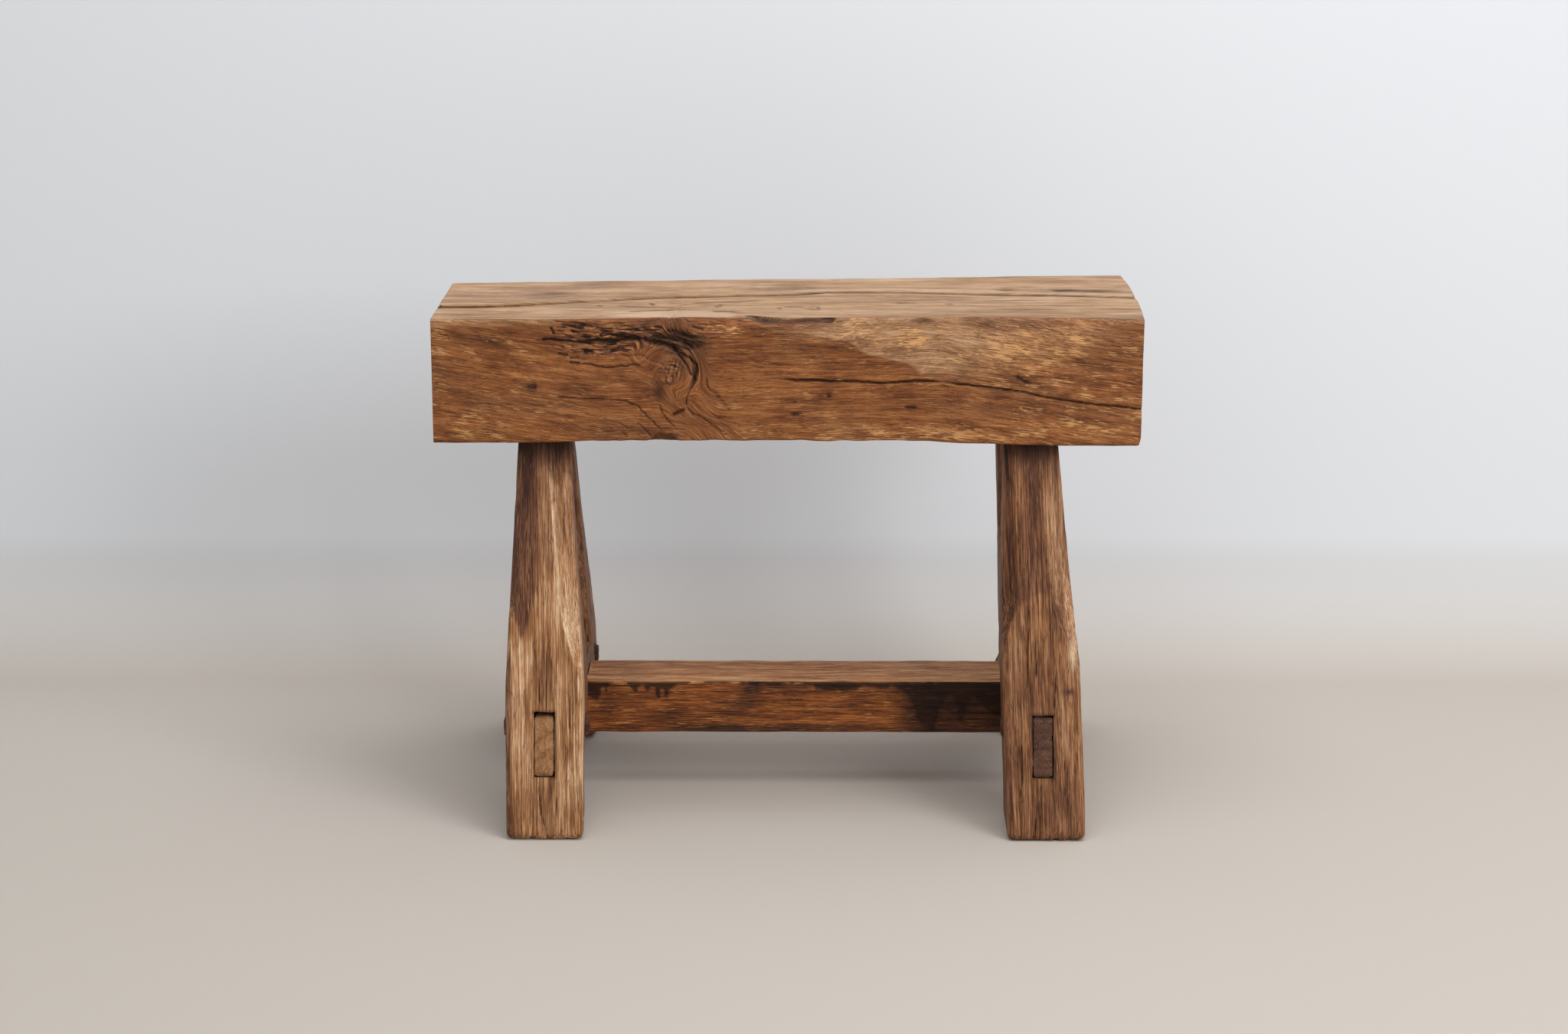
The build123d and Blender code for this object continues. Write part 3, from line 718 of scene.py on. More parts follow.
        # a pale spot at the right arris: worn wood with a painted highlight
        arris_wear_and_highlight = patches(x, z, (0.75, 242.5, 152, 3, 12))
        soot_and_shade += seen * patches(x, z, (0.8, 239.5, 123, 4, 2.2))
    else:
        smoky = 0.6 + 0.3 * shade - 0.25 * rise(0.16, 0.08, z)
        sunny_and_lit = 0.1 + 0.25 * rise(0.16, 0.08, z)
    smoky = held(smoky * seen + (0.62 + 0.2 * shade) * (1 - seen))
    sunny_and_lit = held(sunny_and_lit * seen + 0.15 * (1 - seen))
    axis_x = foot_x + (top_x - foot_x) * z / leg_height
    leg = solid(
        f"{post}_post",
        points,
        leg_wood,
        grain=(z, x - axis_x + 0.05 * seed, off_face),
        marks=(held(soot_and_shade), arris_wear_and_highlight, 0.7 * (z < 0.0002)),
        tones=(sunny_and_lit, smoky, 0.1 + 0.12 * shade),
    )
    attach(leg, "root")
    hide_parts(post)

# Pegs
# Four square pegs of darker hardwood, 15 mm across, driven through the legs to hold the rails' tenons.
# They were split and whittled by hand, so their arrises are uneven and their ends are bruised.

peg_wood = hardwood(
    "peg hardwood",
    ((52, 28, 20), (92, 54, 38), (128, 82, 58)),
    ((84, 54, 40), (120, 82, 62), (150, 110, 84)),
    ((34, 20, 16), (58, 34, 26), (88, 54, 40)),
    (140, 92, 64),
)
peg_cap = 10
for place, side in legs:
    low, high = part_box(f"peg_{place}_{side}")
    x = np.linspace(low.x + 0.0004, high.x - 0.0004, 60)
    seed = 60 + 5 * (place == "back") + 2 * (side == "right")
    taper = 0.0004 * noise(seed, x / 0.02, 0.5)
    cut = 0.0016 + 0.0006 * noise(seed + 1, x / 0.012, 0.5)
    spare = 0.0003
    back, top = high.y - spare, high.z - spare - taper
    flat = section(low.y + spare + taper, back, low.z + spare, top, [cut] * 4)
    points = wrap(stacked(flat, x, 0), [spread(8, 0.12), arris] * 4, 0.0012)
    near_end = np.minimum(points[..., 0] - low.x, high.x - points[..., 0])
    bruise = 0.0008 * rise(0.0022, 0, near_end)
    points = capped(points - outward(points) * bruise[..., None], 0.0002, peg_cap - 1)
    x, y, z = np.moveaxis(points, 2, 0)
    towards = np.sign(x - (low.x + high.x) / 2)
    rough = 0.0003 + 0.0003 * noise(seed + 2, y / 0.003, z / 0.003, towards)
    at_ends = np.zeros(points.shape[:2])
    at_ends[:peg_cap] = at_ends[-peg_cap:] = 1
    x -= towards * at_ends * rough
    peg = solid(
        f"peg_{place}_{side}_pin",
        points,
        peg_wood,
        grain=(x, y, z),
        marks=(0, 0.3 * rise(0, 0.8, noise(seed + 3, x / 0.004, y / 0.004, z / 0.004)), at_ends),
        tones=(0.2 * at_ends, 0.4, 0.2),
    )
    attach(peg, "root")
    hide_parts(f"peg_{place}_{side}")

# Seat
# One thick beam of reclaimed hardwood, 600 mm long and 107 mm thick, deeper at its right end than at its
# left. It was hewn with an adze, worn and waxed; the grain swings down round a rotten, barky knot, drying
# checks run along the front and the top, and blind mortises below take the legs.

low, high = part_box("seat_beam")
front_y, half_length = low.y, 0.3
seat_bow, left_depth, right_depth = 0.003, 0.19, 0.236


def nearest(x, z, path):
    """How far each point is from a broken line, and how far along it, 0 to 1, its nearest place is."""
    path = np.reshape(path, (-1, 2)) / 1000
    steps = np.diff(path, axis=0)
    runs = np.linalg.norm(steps, axis=1)
    best, share, before = np.full(x.shape, 1.0), np.zeros(x.shape), 0.0
    for start, step, run in zip(path, steps, runs):
        t = held(((x - start[0]) * step[0] + (z - start[1]) * step[1]) / run**2)
        distance = np.hypot(x - start[0] - t * step[0], z - start[1] - t * step[1])
        nearer = distance < best
        best = np.where(nearer, distance, best)
        share = np.where(nearer, (before + t * run) / runs.sum(), share)
        before += run
    return best, share


# paths are rows of millimetres, in turn along from the middle, and up from the floor or back from the middle
hewn_back = (
    -176, 0, -156, 4, -136, 4.5, -107, 9.5, -88, 10, -58, 7, -40, 7, -25, 5, 0, 5, 20, 7, 39, 9.5,
    60, 13, 84, 13.5, 117, 14, 158, 14, 183, 12, 212, 10.5, 236, 10, 261, 7.5, 288, 2, 300, 0,
)
hewn_from = (
    -176, 434, -150, 428, -107, 419, -88, 417, -58, 421, -38, 425, -18, 430.5, 16, 423.5, 52, 417,
    67, 406, 84, 402.5, 101, 398.5, 114, 390.5, 160, 388, 200, 394, 240, 406, 270, 420, 300, 434,
)
top_check = (
    -302, -38, -259, -36.5, -220, -29, -189, -17.5, -149, -3.5, -93, 9.5, -50, 16.5, 7, 27, 34, 37,
    87, 37.5, 136, 31.5, 187, 25, 247, 21.5, 306, 11,
)
gouge_wall = (-36, 19, -26, 18, -18, 13, -11, 10, 5, 8.5, 20, 9, 39, 11)
near_end = np.array([0.2998, 0.2993, 0.2985, 0.2975, 0.2962, 0.2946])
runs = (np.linspace(-0.3, -0.212, 30), np.linspace(-0.212, -0.064, 184), np.linspace(-0.064, 0.3, 122))
x = np.unique(np.concatenate([-near_end, near_end, *runs]))
back_y = front_y + left_depth + (right_depth - left_depth) * (x + half_length) / (2 * half_length)
notch = 0.0016 * bell(x + 0.104, 0.0095) + 0.001 * bell(x + 0.146, 0.004)
cut_front_low = 0.0014 - 0.0006 * rise(0.17, 0.2, x) + 0.0007 * noise(80, x / 0.01, 0.5) + notch
cut_front_high = 0.0014 + 0.0006 * noise(81, x / 0.015, 0.5)
cuts = [cut_front_low, 0.0032 + 0 * x, 0.003 + 0.0006 * noise(82, x / 0.02, 0.5), cut_front_high]
corners = stacked(section(front_y, back_y, low.z, high.z, cuts), x, 0)
down_front = np.concatenate([
    [0, 0.006, 0.013], np.linspace(0.02, 0.56, 78), np.linspace(0.56, 0.98, 46)[1:], [0.987, 0.994]
])

# across the top the columns stand close together at its check and towards the front arris
depth = back_y - front_y
to_check = back_y - line_at(x, top_check)
gather = [0.02 + 0 * x, (to_check - 0.007) / depth, (to_check + 0.007) / depth]
gather += [1 - 0.075 / depth, 1 - 0.03 / depth, 0.988 + 0 * x]
gather = np.maximum.accumulate(np.array(gather) + 0.0015 * np.arange(6)[:, None])
parts = [share * np.ones((len(x), 1)) for share in (0.0, 0.007, 0.014, 0.02)]
for start, stop, count in zip(gather[:-1], gather[1:], (11, 15, 12, 18, 24)):
    parts.append(start[:, None] + (stop - start)[:, None] * np.linspace(0, 1, count)[1:])
across_top = np.concatenate([*parts, 0.9965 * np.ones((len(x), 1))], 1)
underside, back_side = spread(9, 0.02), spread(9, 0.03)
shares = [underside, arris, back_side, arris, across_top, arris, down_front, arris]
points = wrap(corners, shares, 0.0016)
x, y, z = np.moveaxis(points, 2, 0).copy()
back_most = y.max(1, keepdims=True)
middle_y = (front_y + back_most) / 2
bulge = 1 - ((y - middle_y) / (back_most - middle_y)) ** 2
points[..., 0] = x + seat_bow * bulge * rise(0.15, 0.3, x)

# the hollow adze cut leans the arris back, and a gouge has carried away the arris near the middle;
# the gouge is painted darker as painted shade in its notch
from_z = line_at(x, hewn_from)
up_cut = held((z - from_z) / (high.z - from_z)) ** (1 + 0.5 * rise(0.1, 0.17, x))
hewn = line_at(x, hewn_back)
hewn += 0.0007 * noise(98, x / 0.012, z / 0.01) * rise(0, 0.003, hewn)
points[..., 1] = y + hewn * up_cut * held(1 - (y - front_y) / 0.034)
behind_wall = points[..., 1] - front_y - line_at(x, gouge_wall) - 0.0008 * noise(99, x / 0.005, 0.5)
gouged = window(x, -0.036, -0.018, 0.038, 0.0392)
gouge_floor = high.z - 0.0038 * gouged
carved = rise(0.0004, -0.0004, behind_wall) * window(x, -0.0365, -0.034, 0.038, 0.0392)
points[..., 2] = z - carved * np.clip(z - gouge_floor, 0, None)
# the gouge is painted dark as painted shade, darkest at its two ends
gouge_shade = rise(0.0016, 0.0008, behind_wall) * rise(gouge_floor - 0.0008, gouge_floor, z)
gouge_shade *= window(x, -0.0365, -0.034, 0.0385, 0.0395)
gouge_x = (-0.034, -0.02, -0.01, -0.004, 0.004, 0.01, 0.03, 0.037)
gouge_shade *= np.interp(x, gouge_x, (1.0, 0.95, 0.8, 0.55, 0.5, 0.7, 0.75, 1.0))

# cracks and furrows in the front: half width and depth in mm, how dark, and the path
crevices = (
    (2.3, 3.8, 1, (-180, 416, -170, 415.5, -163, 417, -151, 416, -143, 417.5, -134, 418.5, -122, 418.5)),
    (2, 3.4, 1, (-122, 418.5, -111, 416, -102, 414, -96.5, 411, -91, 407.5)),
    (1.1, 2.2, 0.95, (-208, 418, -198.5, 419, -190, 417.5, -183, 417, -177.5, 415)),
    (1.3, 1.6, 0.8, (-93.5, 407.5, -84.5, 397, -80.5, 387)),
    (1.2, 2, 0.9, (-91, 408, -82.5, 403, -76.5, 397, -75.5, 392, -78, 386, -79, 381)),
    (1, 1.3, 0.85, (-190, 431, -185.5, 430.5, -177.5, 429)),
    (1, 1.3, 0.85, (-161, 428, -146, 429.5)),
    (0.9, 1, 0.7, (-196, 435, -193, 434, -185.5, 433, -173.5, 432.5, -163, 432.5)),
    (1.2, 1.6, 0.95, (-199, 429, -196, 423)),
    (1.1, 1.4, 0.9, (-157, 423.5, -156, 419.5)),
    (0.8, 1, 0.75, (-150, 420.5, -143, 423, -127.5, 424.5)),
    (1.3, 1.4, 0.9, (-193.5, 406.5, -189, 405.5, -185, 405)),
    (1, 1, 0.8, (-184, 402.5, -175, 403.5)),
    (2.6, 1.6, 0.55, (-172, 408, -163, 407)),
    (1.2, 1.3, 0.9, (-184, 398.5, -175, 398.5)),
    (0.65, 1.3, 0.8, (-173, 397.5, -166, 397.5, -157, 395, -151, 394.5, -143, 395.5, -127, 396.5, -123, 397)),
    (1.5, 1.2, 0.8, (-120.5, 428, -110, 426)),
    (2.3, 2.6, 1, (-115, 423.5, -105, 422, -97.5, 421, -90, 417.5, -83.5, 414.5, -77.5, 411.5)),
    (1.3, 1.6, 0.9, (-102, 426, -93.5, 426.5, -88.5, 424.5, -78.5, 421.5)),
    (1.2, 1.2, 0.85, (-96, 423.5, -82.5, 417)),
    (0.8, 1, 0.85, (-80, 430, -74, 428, -70.5, 426.5)),
    (0.55, 1.1, 0.8, (-196, 370, -170, 367.5, -151, 367.5, -134.5, 366, -125.5, 361, -118, 352, -105, 338)),
    (0.55, 1, 0.7, (-127, 346.5, -121, 340.5, -114, 332)),
    (0.55, 1, 0.7, (-108, 363, -105.5, 356.5, -101, 348.5, -94.5, 342)),
    (0.6, 1.2, 0.8, (-85.5, 362, -80, 355, -72.5, 352.5, -65, 346, -57, 339.5, -49, 333.5)),
    (0.6, 1.2, 0.75, (-78, 387, -80, 378.5, -84.5, 369.5, -85.5, 361.5)),
    (0.75, 1, 0.82, (-69, 386, -67, 377.5, -59.5, 372, -51.5, 361.5, -46, 355)),
    (1.5, 1.8, 0.95, (-97, 353.5, -90, 357, -87, 359)),
    (1.1, 1, 0.75, (-60.5, 350.5, -55, 352)),
    (0.6, 0.7, 0.6, (-155.5, 349.5, -142, 346, -134, 341)),
    (0.6, 0.6, 0.55, (-140, 338, -134.5, 332.5)),
    (0.5, 0.6, 0.55, (-217.5, 362.5, -204, 361.5)),
    (0.5, 0.6, 0.5, (-204, 357, -193, 353.5, -180, 351)),
    (0.5, 0.5, 0.45, (-292, 366, -262, 363.5, -231, 362)),
    (0.5, 0.5, 0.4, (-266, 341, -248, 338.5, -236, 338)),
    (1, 2.4, 0.95, (-5.5, 384.5, 9.5, 384, 45.5, 383, 84, 381.5, 107.5, 383.5, 131, 382.5)),
    (0.8, 2.2, 0.95, (131, 382.5, 158.5, 379.5, 195, 375, 216.5, 369.5, 258.5, 364, 306, 359)),
    (0.5, 0.7, 0.6, (256.5, 386.5, 306, 379)),
    (1.9, 1.8, 1, (192, 387, 197, 385, 204, 381)),
    (2.3, 1.6, 0.95, (33.5, 371.5, 36.5, 370.5)),
    (1.9, 1.6, 0.95, (3.5, 355, 11.5, 354.5)),
    (1.5, 1.3, 0.9, (100, 361.5, 109, 360.5)),
    (2.4, 1.3, 0.95, (-221, 378.5, -216, 377.5, -211, 378)),
    (0.5, 0.6, 0.55, (-44, 410, -33, 404, -22, 398)),
    (0.5, 0.5, 0.45, (-57, 404, -48, 400, -37, 399)),
)
x, y, z = np.moveaxis(points, 2, 0).copy()
behind = y - front_y
on_front = rise(0.0045, 0.0015, behind - hewn * up_cut)
on_top = rise(high.z - 0.008, high.z - 0.001, z) * (1 - on_front)

# the grain falls a little at both ends, swings down below the knot and turns right round its upper side
knot_x, knot_z = -0.101, 0.39
centre = line_at(z, (342, -63, 352, -80.5, 371.5, -85, 394.5, -77.5, 414, -95.5))
swing = 0.055 - 0.03 * rise(0.375, 0.395, z)
swirl = rise(-swing / 2, swing / 2, x - centre) * bell(behind, 0.045)
flow = z + 0.055 * swirl + (0.15 * np.clip(x + 0.16, None, 0) + 0.13 * np.clip(x - 0.13, 0, None)) * on_front
from_knot = np.hypot(x - knot_x, (z - knot_z) * np.where(z > knot_z, 0.92, 1.15))
round_knot = window(from_knot, 0.007, 0.014, 0.026, 0.036) * on_front
round_knot *= rise(-0.03, -0.006, x - knot_x + z - knot_z)
flow += (knot_z + from_knot - flow) * round_knot
turn = np.arctan2(z - knot_z, x - knot_x)
hollow = 0.0004 + 0.0004 * noise(83, x / 0.055, y / 0.03, flow / 0.016)
hollow += 0.00022 * noise(84, x / 0.018, y / 0.003, flow / 0.003)
dish = patches(x, z, (0.0024, -138, 415, 55, 20)) * on_front
fringe = patches(
    x, z, (1, -163, 426.5, 36, 8), (1, -160, 411, 36, 7), (1.1, -100, 420.5, 25, 8.5), (0.6, -125, 424, 30, 6)
)
fringe = rise(0.25, 0.8, fringe + 0.16 * noise(97, x / 0.006, z / 0.003)) * on_front
fibres = window(from_knot, 0.0125, 0.0175, 0.0275, 0.0295) * on_front
fibres *= window(turn, -0.75, -0.3, 1.2, 1.9)
strands = noise(78, from_knot / 0.0011, turn / 0.55)
bark = noise(85, x / 0.01, y / 0.004, flow / 0.0022) + 0.5 * noise(86, x / 0.005, y / 0.002, flow / 0.0012)
hollow += dish + fringe * (0.001 + 0.001 * bark) + fibres * (0.0006 + 0.0006 * strands)
soot_and_shade = np.maximum(fringe * 0.85 * rise(0.1, 0.7, bark), 0.7 * fibres * rise(0.15, 0.6, strands))
ridges = rise(0.3, 0.75, patches(x, z, (1, -96, 419.5, 26, 9), (1, -86, 415, 14, 5.5))) * on_front
ridge_lines = noise(74, x / 0.022, (z + 0.36 * x) / 0.0015)
hollow += ridges * (0.0008 - 0.0008 * ridge_lines)
soot_and_shade = np.maximum(soot_and_shade, ridges * (0.3 + 0.62 * rise(0.35, -0.3, ridge_lines)))
wobble_x = x + 0.0006 * noise(87, x / 0.004, z / 0.004)
wobble_z = z + 0.0006 * noise(88, x / 0.004, z / 0.004)
for half_width, deep, dark, path in crevices:
    distance, share = nearest(wobble_x, wobble_z, path)
    ends = held(12 * share * (1 - share) + 0.25)
    groove = on_front * bell(distance, half_width * 0.001 * (0.55 + 0.45 * ends))
    hollow += 0.001 * deep * groove * ends
    soot_and_shade = np.maximum(soot_and_shade, dark * groove**0.8 * ends)
lip_path = (-143, 407, -136, 404, -122.5, 405, -118, 401.5, -111, 399, -105, 397, -102, 393, -100, 388.5)
lip, _ = nearest(x, z, lip_path)
hollow += 0.0008 * on_front * bell(lip, 0.0011)
curls = patches(x, z, (1, -94.5, 394, 8, 6.8)) * on_front
waves = np.sin((x - 0.35 * z + 0.0012 * noise(96, x / 0.005, z / 0.005)) / 0.00056)
hollow += curls * 0.0007 * (1 - waves)
soot_and_shade = np.maximum(soot_and_shade, 0.6 * curls * rise(0.2, -0.8, waves))
edge_chip = patches(x, z, (1, -104, 329.5, 12.5, 7.5)) + 0.1 * noise(70, x / 0.003, z / 0.003)
edge_chip = rise(0.3, 0.6, edge_chip) * on_front
hollow += 0.0016 * edge_chip
soot_and_shade = np.maximum(soot_and_shade, 0.72 * edge_chip)
loop, _ = nearest(x, z, (-102, 388, -102.3, 383, -99.5, 379.5, -96.5, 382, -97, 387))
soot_and_shade = np.maximum(soot_and_shade, 0.75 * on_front * bell(loop, 0.0007))
hollow += 0.0007 * on_front * bell(loop, 0.0009)
pale = 0.05 * bell(lip - 0.0012, 0.0007) * (z < 0.404) + 0.26 * curls * rise(-0.1, 0.8, waves)
pale = on_front * (pale + patches(x, z, (0.25, -99.2, 383.2, 1.8, 2.6)))

# checks, hair cracks and scratches in the top: half width in mm, depth in metres, how dark, and the path
top_marks = (
    (2.5, 0.0032, 1, top_check),
    (2.4, 0.0014, 0.8, (181, 45, 216, 51, 244, 44.5, 271, 42, 302, 35)),
    (2.2, 0.0012, 0.75, (-148, -38, -133, -41.5, -111, -46, -93, -47)),
    (2.3, 0.0012, 0.8, (-83, -25, -49, -18.5, -24, -10)),
    (2.2, 0.0012, 0.75, (-63, -65, -48, -67.5, -38, -74)),
    (2.2, 0.0012, 0.7, (-135, -68, -118.5, -63, -96, -60)),
    (2.2, 0.0012, 0.7, (-98, -48, -82, -43, -67.5, -42)),
    (1.8, 0.0008, 0.75, (-61, -45, -57, -31)),
    (1.8, 0.0008, 0.75, (-119, -26, -115, -35)),
    (2.2, 0.0008, 0.75, (-164, -38, -159.5, -40.5)),
    (2.2, 0.001, 0.8, (-3, -45, 3.5, -41.5, 10, -41.5, 14.5, -46)),
    (1.4, 0.0006, 0.7, (-8, -45, -6, -56)),
    (1.4, 0.0006, 0.65, (19, -41.5, 26.5, -41.5, 27, -56, 18.5, -57, 19, -41.5)),
    (2, 0.0008, 0.6, (94, -22, 112, -20.5)),
    (2, 0.0008, 0.75, (136, -26, 142, -29)),
    (2, 0.0008, 0.65, (156, -59.5, 160, -61.5)),
)
top_soot = np.zeros(x.shape)
for half_width, deep, dark, path in top_marks:
    distance, share = nearest(x, y + 0.0012 * noise(89, x / 0.01, 0.5), path)
    strong = held(9 * share * (1 - share) + 0.3)
    if path is top_check:
        strong = 0.8 + 0.2 * noise(77, x / 0.018, 0.5)
    groove = on_top * bell(distance, half_width * 0.001) * strong
    hollow += deep * groove
    top_soot = np.maximum(top_soot, dark * groove)
before_check = line_at(x, top_check) - y
hollow += 0.0012 * on_top * window(before_check, -0.0006, 0.0006, 0.002, 0.022)
# the gouge's back wall is painted darker still as painted shade, most along its edge
gouge_wall_shade = gouge_shade**2 * (0.16 + 0.42 * rise(0.0012, 0.0002, np.abs(behind_wall)))
soot_and_shade = np.maximum(soot_and_shade, np.maximum(top_soot, gouge_wall_shade))
points = points - outward(points) * hollow[..., None]
squeeze = 0.0007 * (high.z - z) / (high.z - low.z) + 0.0002 + 0.0002 * noise(90, y / 0.02, z / 0.02)
points[..., 0] -= np.sign(x) * squeeze * np.where(x < 0, 0.4, 1) * np.abs(x / half_length) ** 12
raised = 0.0022 * window(x, -0.215, -0.15, 0.1, 0.175) - 0.0016 * rise(0.165, 0.235, x)
raised += 0.0006 * noise(76, x / 0.012, 0.5) * rise(0.175, 0.15, np.abs(x))
points[..., 2] += raised * rise(low.z + 0.03, low.z, z)
points[..., 2] = np.minimum(points[..., 2], high.z - 0.0001)
cap_steps = 16
beyond = ((cap_steps - 1, cap_steps - 1), (0, 0))
points = capped(points, 0.0, cap_steps)


def rounded(into_a, into_b, radius):
    """How far to draw in two distances from two meeting sides, so that their corner is round.

    With a and b going from 0 at the radius to 1 at the side, the square becomes a disc: a takes the
    factor sqrt(1 - bb/2), and b takes sqrt(1 - aa/2).
    """
    a, b = (held(1 - into / radius) for into in (into_a, into_b))
    return radius * a * (1 - np.sqrt(1 - b * b / 2)), radius * b * (1 - np.sqrt(1 - a * a / 2))


x, y, z = np.moveaxis(points, 2, 0).copy()
end_x = np.where(x > 0, x.max(), -x.min())
deepest = np.interp(x, (-half_length, half_length), (back_y[0], back_y[-1]))
draw_x, draw_z = rounded(end_x - np.abs(x), z - low.z, np.where(x > 0, 0.0085, 0.0014))
points[..., 0] -= np.sign(x) * draw_x
points[..., 2] += draw_z
draw_x, draw_y = rounded(end_x - np.abs(x), deepest - y, 0.008)
points[..., 0] -= np.sign(x) * draw_x
points[..., 1] -= draw_y


def outer_only(values):
    """Values for the long faces, with nothing on the two ends."""
    return np.pad(values, beyond)


x, y, z = np.moveaxis(points, 2, 0).copy()
at_ends = np.zeros(x.shape)
at_ends[:cap_steps] = at_ends[-cap_steps:] = 1
end_checks = (
    (1, (-107.5, 359.5, -55, 372)),
    (1, (16.5, 436, 10, 395)),
    (-1, (-35, 436, -30, 388)),
    (-1, (70, 380, 20, 365)),
)
end_check = np.zeros(x.shape)
for end_x, path in end_checks:
    distance, share = nearest(y + 0.001 * noise(91, z / 0.008, end_x), z, path)
    on_end = at_ends * (np.sign(x) == end_x)
    end_check = np.maximum(end_check, on_end * bell(distance, 0.0012 * (1.1 - share)))
points[..., 0] -= np.sign(x) * 0.0022 * end_check
grain_across = np.where(at_ends > 0, z, outer_only(flow)) - 0.38
behind = y - front_y
on_front = outer_only(on_front)
on_top = outer_only(on_top) * (1 - on_front)
# below marks the bottom edge of the seat, which is painted darker as painted shade underneath
below = rise(low.z + 0.002, low.z + 0.0005, z)
noise_broad = noise(93, x / 0.05, y / 0.03, z / 0.018)
noise_fine = noise(94, x / 0.014, y / 0.008, z / 0.005)
above = z - line_at(x, hewn_from)
# the adze facet above the hewn line is painted lighter, as painted light from the sky on its slope
soft = 0.014 * rise(0.095, 0.15, x)
facet = rise(0, 1, (above + 0.0003 + soft) / (0.0009 + 2 * soft)) * rise(-0.005, 0.03, x)
smoky = 0.2 * noise_broad + patches(
    x, z,
    (0.5, -140, 424, 58, 10), (0.5, -90, 412, 20, 20), (0.35, -72, 405, 16, 22), (0.45, -108, 374, 6, 11),
    (0.4, -216.5, 378, 11, 4.5), (0.4, -256, 341, 4.5, 3.5), (0.22, -274, 366, 7, 6),
    (0.15, 285, 350, 30, 20), (0.25, 20, 405, 60, 12), (0.5, 115, 432, 13, 3), (0.45, 153, 431, 6, 4),
    (0.5, 168, 429, 9, 5), (0.42, 205, 428.5, 28, 5), (0.2, 275, 415, 20, 20), (0.22, 150, 356, 40, 10),
)
smoky += patches(x, z, (0.38, -256, 421, 30, 9)) * rise(0.43, 0.4275, z + 0.001 * noise_fine)
front_sun_and_light = facet * (0.6 - 0.42 * rise(0.115, 0.2, x)) + patches(x, z, (0.14, 200, 408, 90, 20))
front_sun_and_light += 0.12 * noise_broad + 0.5 * rise(0.428, 0.4315, z + 0.0012 * noise_fine) * rise(-0.18, -0.205, x)
below_facet = window(above, -0.007, -0.001, -0.001, 0.002)
front_sun_and_light += 0.3 * below_facet * window(x, -0.03, -0.01, 0.04, 0.06)
front_flecks = 0.14 + 0.1 * rise(-0.16, -0.2, x) + 0.12 * noise_fine + patches(
    x, z,
    (0.8, 200, 415, 20, 8), (0.8, 247, 418.5, 11, 10), (0.7, 172, 420.5, 12, 7), (0.7, 105, 424.5, 11, 4),
    (0.6, 229, 383.5, 18, 3), (0.55, 58, 425.5, 22, 9), (0.45, 112, 417, 30, 6), (0.7, 190, 405, 14, 4),
    (0.7, 222, 401, 10, 6), (0.35, 200, 405, 90, 24), (0.75, 130, 337, 140, 8.5), (0.35, 240, 360, 60, 20),
    (0.6, -293, 422, 8, 20), (0.36, -270, 340, 30, 10), (0.55, -45, 427, 20, 8), (0.45, 50, 426.5, 16, 7),
)
top_smoke = patches(x, y, (0.42, -208, 22, 34, 10), (0.5, 246, 46, 35, 14), (0.3, -85, -78, 50, 10))
top_smoke += 0.3 * rise(high.z - 0.0006, high.z - 0.003, z) + 0.16 * noise_broad
top_smoke += (0.3 - 0.12 * rise(-0.12, -0.18, x)) * noise(75, x / 0.14, y / 0.012)
top_smoke += 0.2 * noise(73, x / 0.1, y / 0.005)
smudges = patches(x, y, (0.6, -200, 20, 10, 4), (0.6, 246, 46, 10, 4))
streak_lines = rise(0.45, 0.75, noise(95, x / 0.045, y / 0.003)) * rise(0, -0.06, y) * rise(0.04, -0.06, x)
# a pale strip on the top behind the front arris: partly worn, partly painted sheen
worn_and_sheen_strip = window(behind, 0.008, 0.014, 0.036, 0.046)
worn_and_sheen_strip *= window(x, -0.165, -0.13, -0.05, -0.04)
# sheen paints a pale reflection along the top just behind its check
past_check = y - line_at(x, top_check)
sheen = window(past_check, 0.001, 0.004, 0.011, 0.016) * rise(-0.06, 0.02, x)
stain = outer_only(soot_and_shade) + on_top * (smudges + 0.3 * streak_lines) + 0.85 * end_check
stain += on_front * patches(x, z, (0.62, -108, 374, 4, 8))
other = (1 - on_front) * (1 - on_top)
column = np.arange(x.shape[1])
top_start = 2 * (len(underside) + len(arris))
is_top = (column >= top_start) & (column <= top_start + across_top.shape[1])
# the top is sunned: partly sun bleaching, partly painted light from the sky above
sunned = on_top * 0.97 + on_front * front_sun_and_light + 0.25 * at_ends
# smoked also holds the painted shade along the underside
smoked = on_front * smoky + on_top * top_smoke + other * (0.3 + 0.2 * noise_broad) + 0.4 * below
bark = np.maximum(np.maximum(fringe, 0.6 * fibres), 0.85 * curls)
seat_wood = hardwood(
    "seat hardwood",
    ((92, 49, 24), (138, 82, 43), (180, 118, 66)),
    # the sunned colours, whose pale end is greyed as painted sheen on the top
    ((138, 98, 64), (178, 138, 98), (212, 178, 146)),
    ((44, 26, 18), (88, 52, 34), (126, 80, 50)),
    (216, 162, 104),
    drawn_out=0.9,
    checked=0.32,
    gloss=0.04,
    barky=True,
)
seat = solid(
    "seat_plank",
    points,
    seat_wood,
    grain=(x * np.where(is_top & (at_ends < 1), 0.45, 1), front_y + 0.45 * behind, grain_across),
    marks=(held(stain), outer_only(pale) + (0.8 * worn_and_sheen_strip + 0.55 * sheen) * on_top, 0.8 * at_ends),
    tones=(
        held(sunned),
        held(smoked + 0.75 * outer_only(gouge_shade)),
        held(on_front * front_flecks + 0.2 * on_top + 0.3 * other),
    ),
    knots=(outer_only(bark), 0, 0),
)
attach(seat, "root")
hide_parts("seat_beam")

# Studio
# A plain pale floor that curves up into a plain pale wall behind the stool, one broad soft lamp above and
# a weaker one in front. The wall can be seen through from behind, so that the back is lit and seen too.

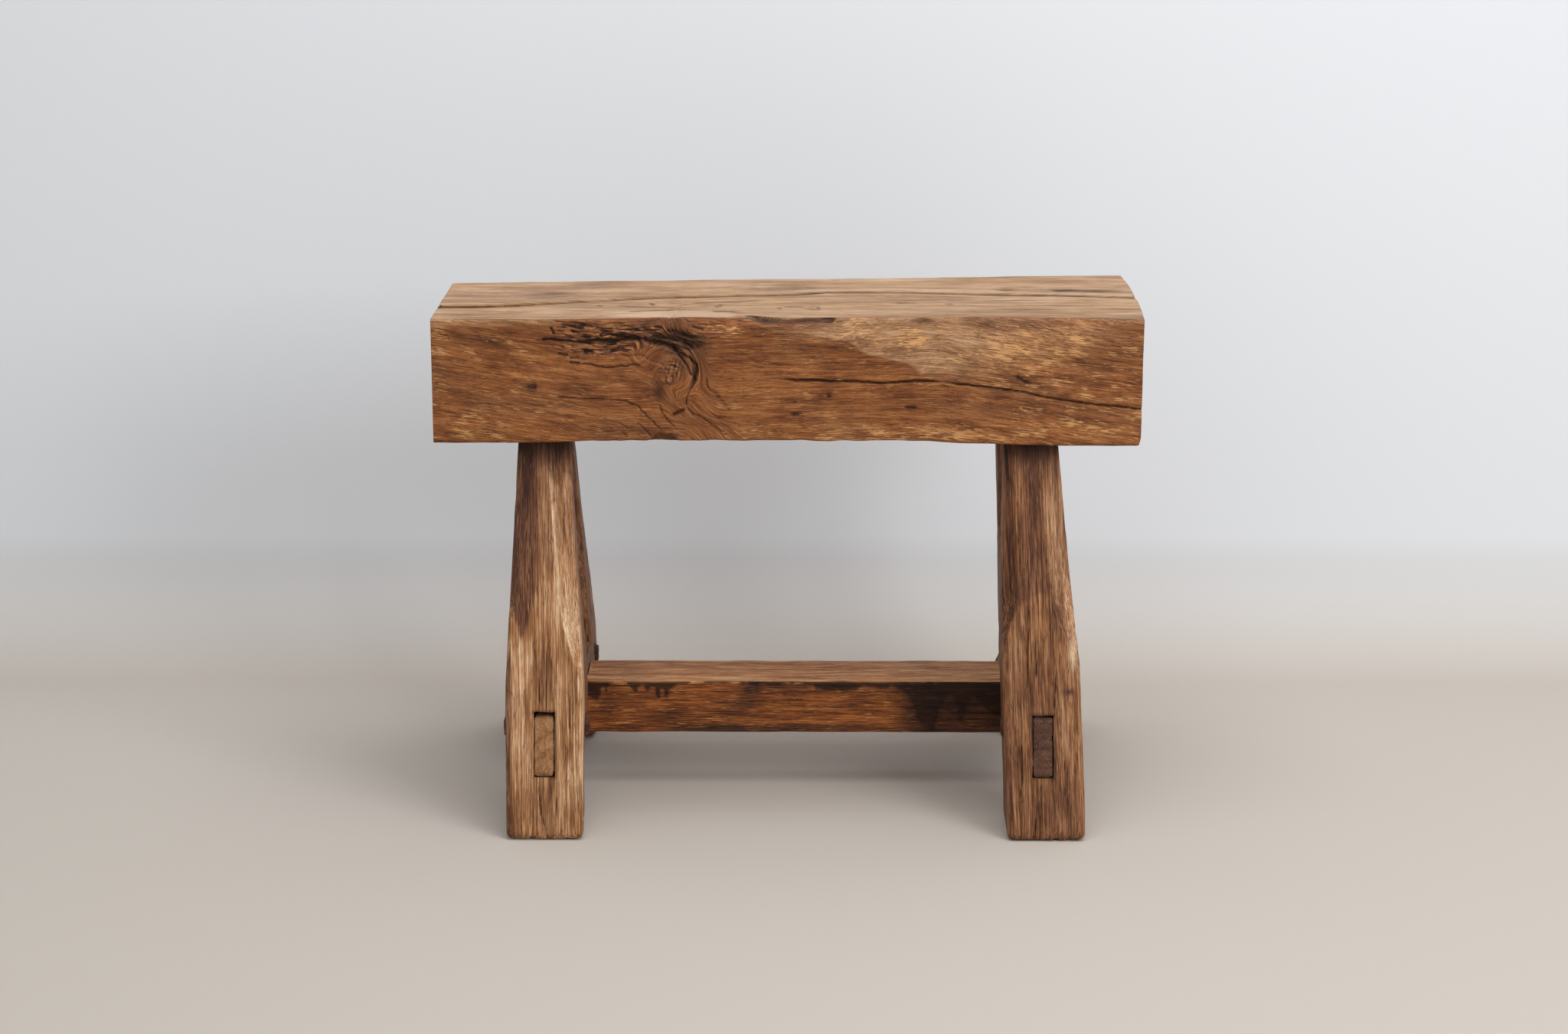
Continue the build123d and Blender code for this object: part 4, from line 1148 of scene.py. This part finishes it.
wall_y, sweep, reach = 0.4, 0.1, 4.0
turn = np.linspace(0, np.pi / 2, 12)
profile_y = np.concatenate([[-reach], wall_y - sweep + sweep * np.sin(turn), [wall_y]])
profile_z = np.concatenate([[0.0], sweep - sweep * np.cos(turn), [2.6]])
across = np.array([-reach, reach])
spots = np.stack([np.tile(across, len(profile_y)), np.repeat(profile_y, 2), np.repeat(profile_z, 2)], -1)
corner = np.arange(len(profile_y) - 1)[:, None] * 2
sweep_mesh = bpy.data.meshes.new("floor_and_wall")
sweep_mesh.from_pydata(spots.tolist(), [], (corner + [0, 1, 3, 2]).tolist())
sweep_mesh.shade_smooth()
floor = bpy.data.objects.new("floor_and_wall", sweep_mesh)
bpy.context.scene.collection.objects.link(floor)
paint = bpy.data.materials.new("pale paint")
paint.use_nodes = True
paint.node_tree.nodes.clear()
start = Wire(paint.node_tree)
height = start.node("ShaderNodeTexCoord", {}, {}, "Object")
height = start.node("ShaderNodeSeparateXYZ", {}, {0: height}, 2)
tint = (height * 8.0).held().blend(pigment(198, 190, 181), pigment(232, 236, 241))
inputs = {"Base Color": tint, "Roughness": 0.9, "Specular IOR Level": 0.1}
matt = start.node("ShaderNodeBsdfPrincipled", {}, inputs)
clear = start.node("ShaderNodeBsdfTransparent", {}, {})
behind_wall = start.node("ShaderNodeNewGeometry", {}, {}, "Backfacing")
seen = start.node("ShaderNodeMixShader", {}, {0: behind_wall, 1: matt, 2: clear})
start.node("ShaderNodeOutputMaterial", {}, {"Surface": seen})
sweep_mesh.materials.append(paint)

world = bpy.data.worlds.new("soft daylight")
bpy.context.scene.world = world
world.use_nodes = True
world.node_tree.nodes.clear()
sky = Wire(world.node_tree)
sees = sky.node("ShaderNodeLightPath", {}, {}, "Is Camera Ray")
day = sky.node("ShaderNodeBackground", {}, {"Color": (1.0, 1.0, 1.0, 1.0), "Strength": 0.5})
plain = sky.node("ShaderNodeBackground", {}, {"Color": pigment(226, 230, 235), "Strength": 1.0})
shown = sky.node("ShaderNodeMixShader", {}, {0: sees, 1: day, 2: plain})
sky.node("ShaderNodeOutputWorld", {}, {"Surface": shown})

for name, place, aim, side, power in (
    ("overhead_lamp", (0.2, -0.6, 2.2), (0, 0, 0.2), 1.6, 22.0),
    ("front_lamp", (2.0, -2.2, 1.5), (0, 0, 0.2), 1.4, 34.0),
):
    lamp = bpy.data.lights.new(name, "AREA")
    lamp.energy, lamp.size = power, side
    holder = bpy.data.objects.new(name, lamp)
    holder.location = place
    towards = np.array(aim) - np.array(place)
    tilt = math.acos(-towards[2] / np.linalg.norm(towards))
    holder.rotation_euler = (tilt, 0, math.atan2(towards[1], towards[0]) - math.pi / 2)
    bpy.context.scene.collection.objects.link(holder)

lens = bpy.data.cameras.new("camera")
lens.sensor_width, lens.lens = 36.0, 77.34
camera = bpy.data.objects.new("camera", lens)
camera.location = (0.0202, -2.8946, 0.9342)
camera.rotation_euler = (math.radians(90 - 13.49), 0, math.radians(0.469))
bpy.context.scene.collection.objects.link(camera)
bpy.context.scene.camera = camera
bpy.context.scene.view_settings.view_transform = "Standard"
